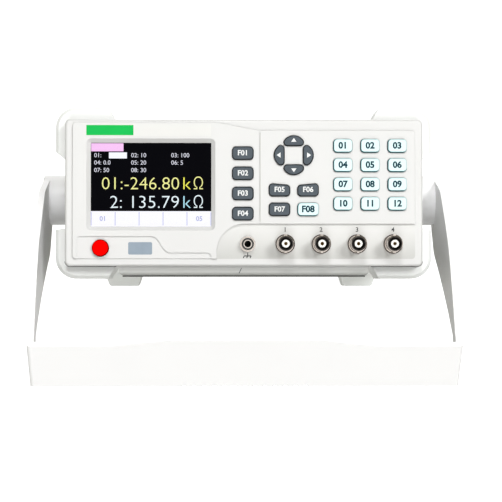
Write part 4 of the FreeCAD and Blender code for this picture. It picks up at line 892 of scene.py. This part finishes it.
def draw_rim_edges(build):
    """Band of painted shadow along the rim's foot and round its corner, on both sides."""
    low = BEZEL_FOOT + RIM_OVER_LIP
    inner = [(RIM_SHADOW_START, low)]
    outer = [(RIM_SHADOW_START, low - RIM_SHADOW)]
    for step in range(RIM_CORNER_STEPS + 1):
        angle = math.radians(270 + 90 * step / RIM_CORNER_STEPS)
        for row, radius in ((inner, RIM_CORNER), (outer, RIM_CORNER + RIM_SHADOW)):
            x = BEZEL_SIDE - RIM_CORNER + radius * math.cos(angle)
            row.append((x, low + RIM_CORNER + radius * math.sin(angle)))
    band = outer + inner[::-1]
    for mirror in (1, -1):
        add_prism(build, [(mirror * x, z) for x, z in band], RIM_SHADOW_RISES)


def draw_key_field_line(build):
    add_stroke(build, *KEY_GROOVE_PAINTED_SHADE, LINE_WIDTH, PRINT_RISES)


def draw_lip_seam(build):
    add_stroke(build, *LIP_SEAM, LINE_WIDTH, PRINT_RISES)


on_panel("lip_painted_shadow", 0, draw_lip_edge, black_and_painted_shade, "case")
on_panel("rim_painted_shadows", 0, draw_rim_edges, black_and_painted_shade, "case")
on_panel("key_groove_painted_shade", 0, draw_key_field_line, groove_painted_shade, "case")
on_panel("lip_seam", LIP_FACE_DEPTH, draw_lip_seam, grey_ink, "case")


# Back: painted shade in the screws' cross recesses, a thin metal skin on the inlet's pins, painted shade in
# the fuse cap's slot, and the serial port's black field, contacts and screw posts. Tips and roots count
# from the rear end.
FLAT_RISE = 0.05
RECESS_ARM = 1.6
RECESS_LINE = 0.7
RECESS_GAP = 0.02
INLET_PINS = ((-7.0, -2.0), (0.0, 2.0), (7.0, -2.0))
PIN_HALF_WIDTH = 1.04
PIN_HALF_HEIGHT = 2.04
PIN_CORNER = 0.3
PIN_TIP = 2.46
PIN_ROOT = 16.0
FUSE_SLOT_HALF = 4.4
FUSE_SLOT_LINE = 1.2
PORT_FIELD_TOP_HALF = 7.7
PORT_FIELD_FOOT_HALF = 6.4
PORT_FIELD_HALF_HEIGHT = 3.4
CONTACT_PITCH = 2.77
CONTACT_ROWS = ((5, 1.42), (4, -1.42))
CONTACT_RADIUS = 0.5
CONTACT_RISE = 0.12
JACKSCREW_SPREAD = 12.4
JACKSCREW_RADII = (1.3, 2.6)
JACKSCREW_TIP = 2.2
JACKSCREW_ROOT = 4.8


def screw_middles():
    """Middle of each rear screw's head, found from the corner its points lie in."""
    middle_x, middle_z = node_middle("rear_screws")
    corners = {}
    for x, _, z in panel_points("rear_screws"):
        corners.setdefault((x > middle_x, z > middle_z), []).append((x, z))
    middles = []
    for places in corners.values():
        middles.append(tuple((min(values) + max(values)) / 2 for values in zip(*places)))
    return middles


def draw_screw_recesses(build):
    rear = rear_rise("rear_screws")
    rises = (rear - FLAT_RISE, rear)
    for x, z in screw_middles():
        add_stroke(build, (x - RECESS_ARM, z), (x + RECESS_ARM, z), RECESS_LINE, rises)
        for side in (-1, 1):
            start = z + side * (RECESS_LINE / 2 + RECESS_GAP)
            add_stroke(build, (x, start), (x, z + side * RECESS_ARM), RECESS_LINE, rises)


def draw_inlet_pins(build):
    middle_x, middle_z = node_middle("power_inlet")
    rear = rear_rise("power_inlet")
    for pin_x, pin_z in INLET_PINS:
        x = middle_x + pin_x
        z = middle_z + pin_z
        across = (x - PIN_HALF_WIDTH, x + PIN_HALF_WIDTH)
        up = (z - PIN_HALF_HEIGHT, z + PIN_HALF_HEIGHT)
        add_plate(build, across, up, PIN_CORNER, (rear + PIN_TIP, rear + PIN_ROOT), SMALL_CORNER_STEPS)


def draw_fuse_slot(build):
    x, z = node_middle("fuse_holder")
    rear = rear_rise("fuse_holder")
    ends = ((x - FUSE_SLOT_HALF, z), (x + FUSE_SLOT_HALF, z))
    # Painted shade in the slot
    add_stroke(build, *ends, FUSE_SLOT_LINE, (rear - FLAT_RISE, rear))


def draw_port_field(build):
    x, z = node_middle("serial_port")
    rear = rear_rise("serial_port")
    foot = z - PORT_FIELD_HALF_HEIGHT
    top = z + PORT_FIELD_HALF_HEIGHT
    corners = [(x - PORT_FIELD_FOOT_HALF, foot), (x + PORT_FIELD_FOOT_HALF, foot)]
    corners += [(x + PORT_FIELD_TOP_HALF, top), (x - PORT_FIELD_TOP_HALF, top)]
    add_prism(build, corners, (rear - FLAT_RISE, rear))


def draw_port_contacts(build):
    x, z = node_middle("serial_port")
    rear = rear_rise("serial_port")
    for count, lift in CONTACT_ROWS:
        for index in range(count):
            place = x + (index - (count - 1) / 2) * CONTACT_PITCH
            rises = (rear - CONTACT_RISE, rear - FLAT_RISE)
            add_prism(build, circle(place, z + lift, CONTACT_RADIUS), rises)


def draw_jackscrews(build):
    x, z = node_middle("serial_port")
    rear = rear_rise("serial_port")
    rises = (rear + JACKSCREW_TIP, rear + JACKSCREW_ROOT)
    for side in (-1, 1):
        add_ring(build, x + side * JACKSCREW_SPREAD, z, JACKSCREW_RADII, rises)


on_panel("screw_recess_shade", 0, draw_screw_recesses, black_and_recess_shade, "case")
on_panel("inlet_pins", 0, draw_inlet_pins, nickel, "case")
on_panel("fuse_slot_shade", 0, draw_fuse_slot, black_and_painted_shade, "case")
on_panel("port_field", 0, draw_port_field, black_and_recess_shade, "case")
on_panel("port_contacts", 0, draw_port_contacts, gold, "case")
on_panel("jackscrews", 0, draw_jackscrews, zinc, "case")


# Studio: white light table, soft lights and the camera at the photograph's angle.
# The table's sizes are metres. Each light has its turn from the front, its height and its spread in
# degrees, and its power. The camera's place and aim are panel millimetres.
SWEEP_FLAT = 9.0
SWEEP_REACH = 12.0
SWEEP_HEIGHT = 5.0
SWEEP_STEPS = 8
SWEEP_SIDES = 96
WORLD_LEVEL = 0.19
WORLD_TONE = "F4F0CC"
LIGHTS = (
    ("key_light", 31.0, 27.0, 18.0, 2.10),
    ("top_light", -4.0, 50.0, 13.0, 1.72),
    ("front_light", 0.0, -13.0, 28.0, 1.36),
    ("low_light", 0.0, -42.0, 50.0, 1.0),
    ("left_light", -58.0, 25.0, 40.0, 0.30),
    ("right_light", 72.0, 35.0, 40.0, 0.08),
    ("back_light", 178.0, 45.0, 60.0, 1.6),
)
CAMERA_PLACE = (-14.0, -1000.0, -53.2)
CAMERA_AIM = (4.2, 0.0, -35.0)
CAMERA_LENS = 117.6
CAMERA_SENSOR = 36.0


def sweep_profile():
    """Radius and height along the table's sheet, flat in the middle and curving up far away."""
    points = []
    for step in range(SWEEP_STEPS + 1):
        angle = math.radians(90 * step / SWEEP_STEPS)
        radius = SWEEP_FLAT + (SWEEP_REACH - SWEEP_FLAT) * math.sin(angle)
        points.append((radius, SWEEP_HEIGHT * (1 - math.cos(angle))))
    return points


def make_floor():
    """Round sheet of the light table, which throws no diffuse light and no shadow on the part."""
    build = bmesh.new()
    rings = []
    for radius, height in sweep_profile():
        ring = []
        for side in range(SWEEP_SIDES):
            angle = math.tau * side / SWEEP_SIDES
            ring.append(build.verts.new((radius * math.cos(angle), radius * math.sin(angle), height)))
        rings.append(ring)
    build.faces.new(rings[0])
    for inner, outer in zip(rings, rings[1:]):
        for side in range(SWEEP_SIDES):
            follow = (side + 1) % SWEEP_SIDES
            build.faces.new((inner[side], outer[side], outer[follow], inner[follow]))
    mesh = bpy.data.meshes.new("floor")
    build.to_mesh(mesh)
    build.free()
    mesh.materials.append(studio_floor())
    sheet = bpy.data.objects.new("floor", mesh)
    bpy.context.scene.collection.objects.link(sheet)
    sheet.visible_diffuse = False
    sheet.visible_shadow = False
    return sheet


def light_world():
    """Faint warm light from all round."""
    world = bpy.data.worlds.new("studio")
    world.use_nodes = True
    background = world.node_tree.nodes["Background"]
    background.inputs["Color"].default_value = linear(WORLD_TONE)
    background.inputs["Strength"].default_value = WORLD_LEVEL
    bpy.context.scene.world = world


def place_light(name, turn, height, spread, power):
    """Soft far light from a turn and a height round the part."""
    light = bpy.data.lights.new(name, "SUN")
    light.angle = math.radians(spread)
    light.energy = power
    lamp = bpy.data.objects.new(name, light)
    lamp.rotation_euler = (math.radians(90 - height), 0, math.radians(turn))
    bpy.context.scene.collection.objects.link(lamp)


def place_camera():
    """Camera at its place, level with the panel's own axes and turned to its aim."""
    lens = bpy.data.cameras.new("camera")
    lens.lens = CAMERA_LENS
    lens.sensor_width = CAMERA_SENSOR
    camera = bpy.data.objects.new("camera", lens)
    forward = (panel(*CAMERA_AIM) - panel(*CAMERA_PLACE)).normalized()
    right = forward.cross(UP).normalized()
    turn = Matrix((right, right.cross(forward), -forward)).transposed().to_4x4()
    turn.translation = panel(*CAMERA_PLACE)
    camera.matrix_world = turn
    bpy.context.scene.collection.objects.link(camera)
    bpy.context.scene.camera = camera


floor = make_floor()
light_world()
for light in LIGHTS:
    place_light(*light)
place_camera()
bpy.context.scene.view_settings.view_transform = "Standard"
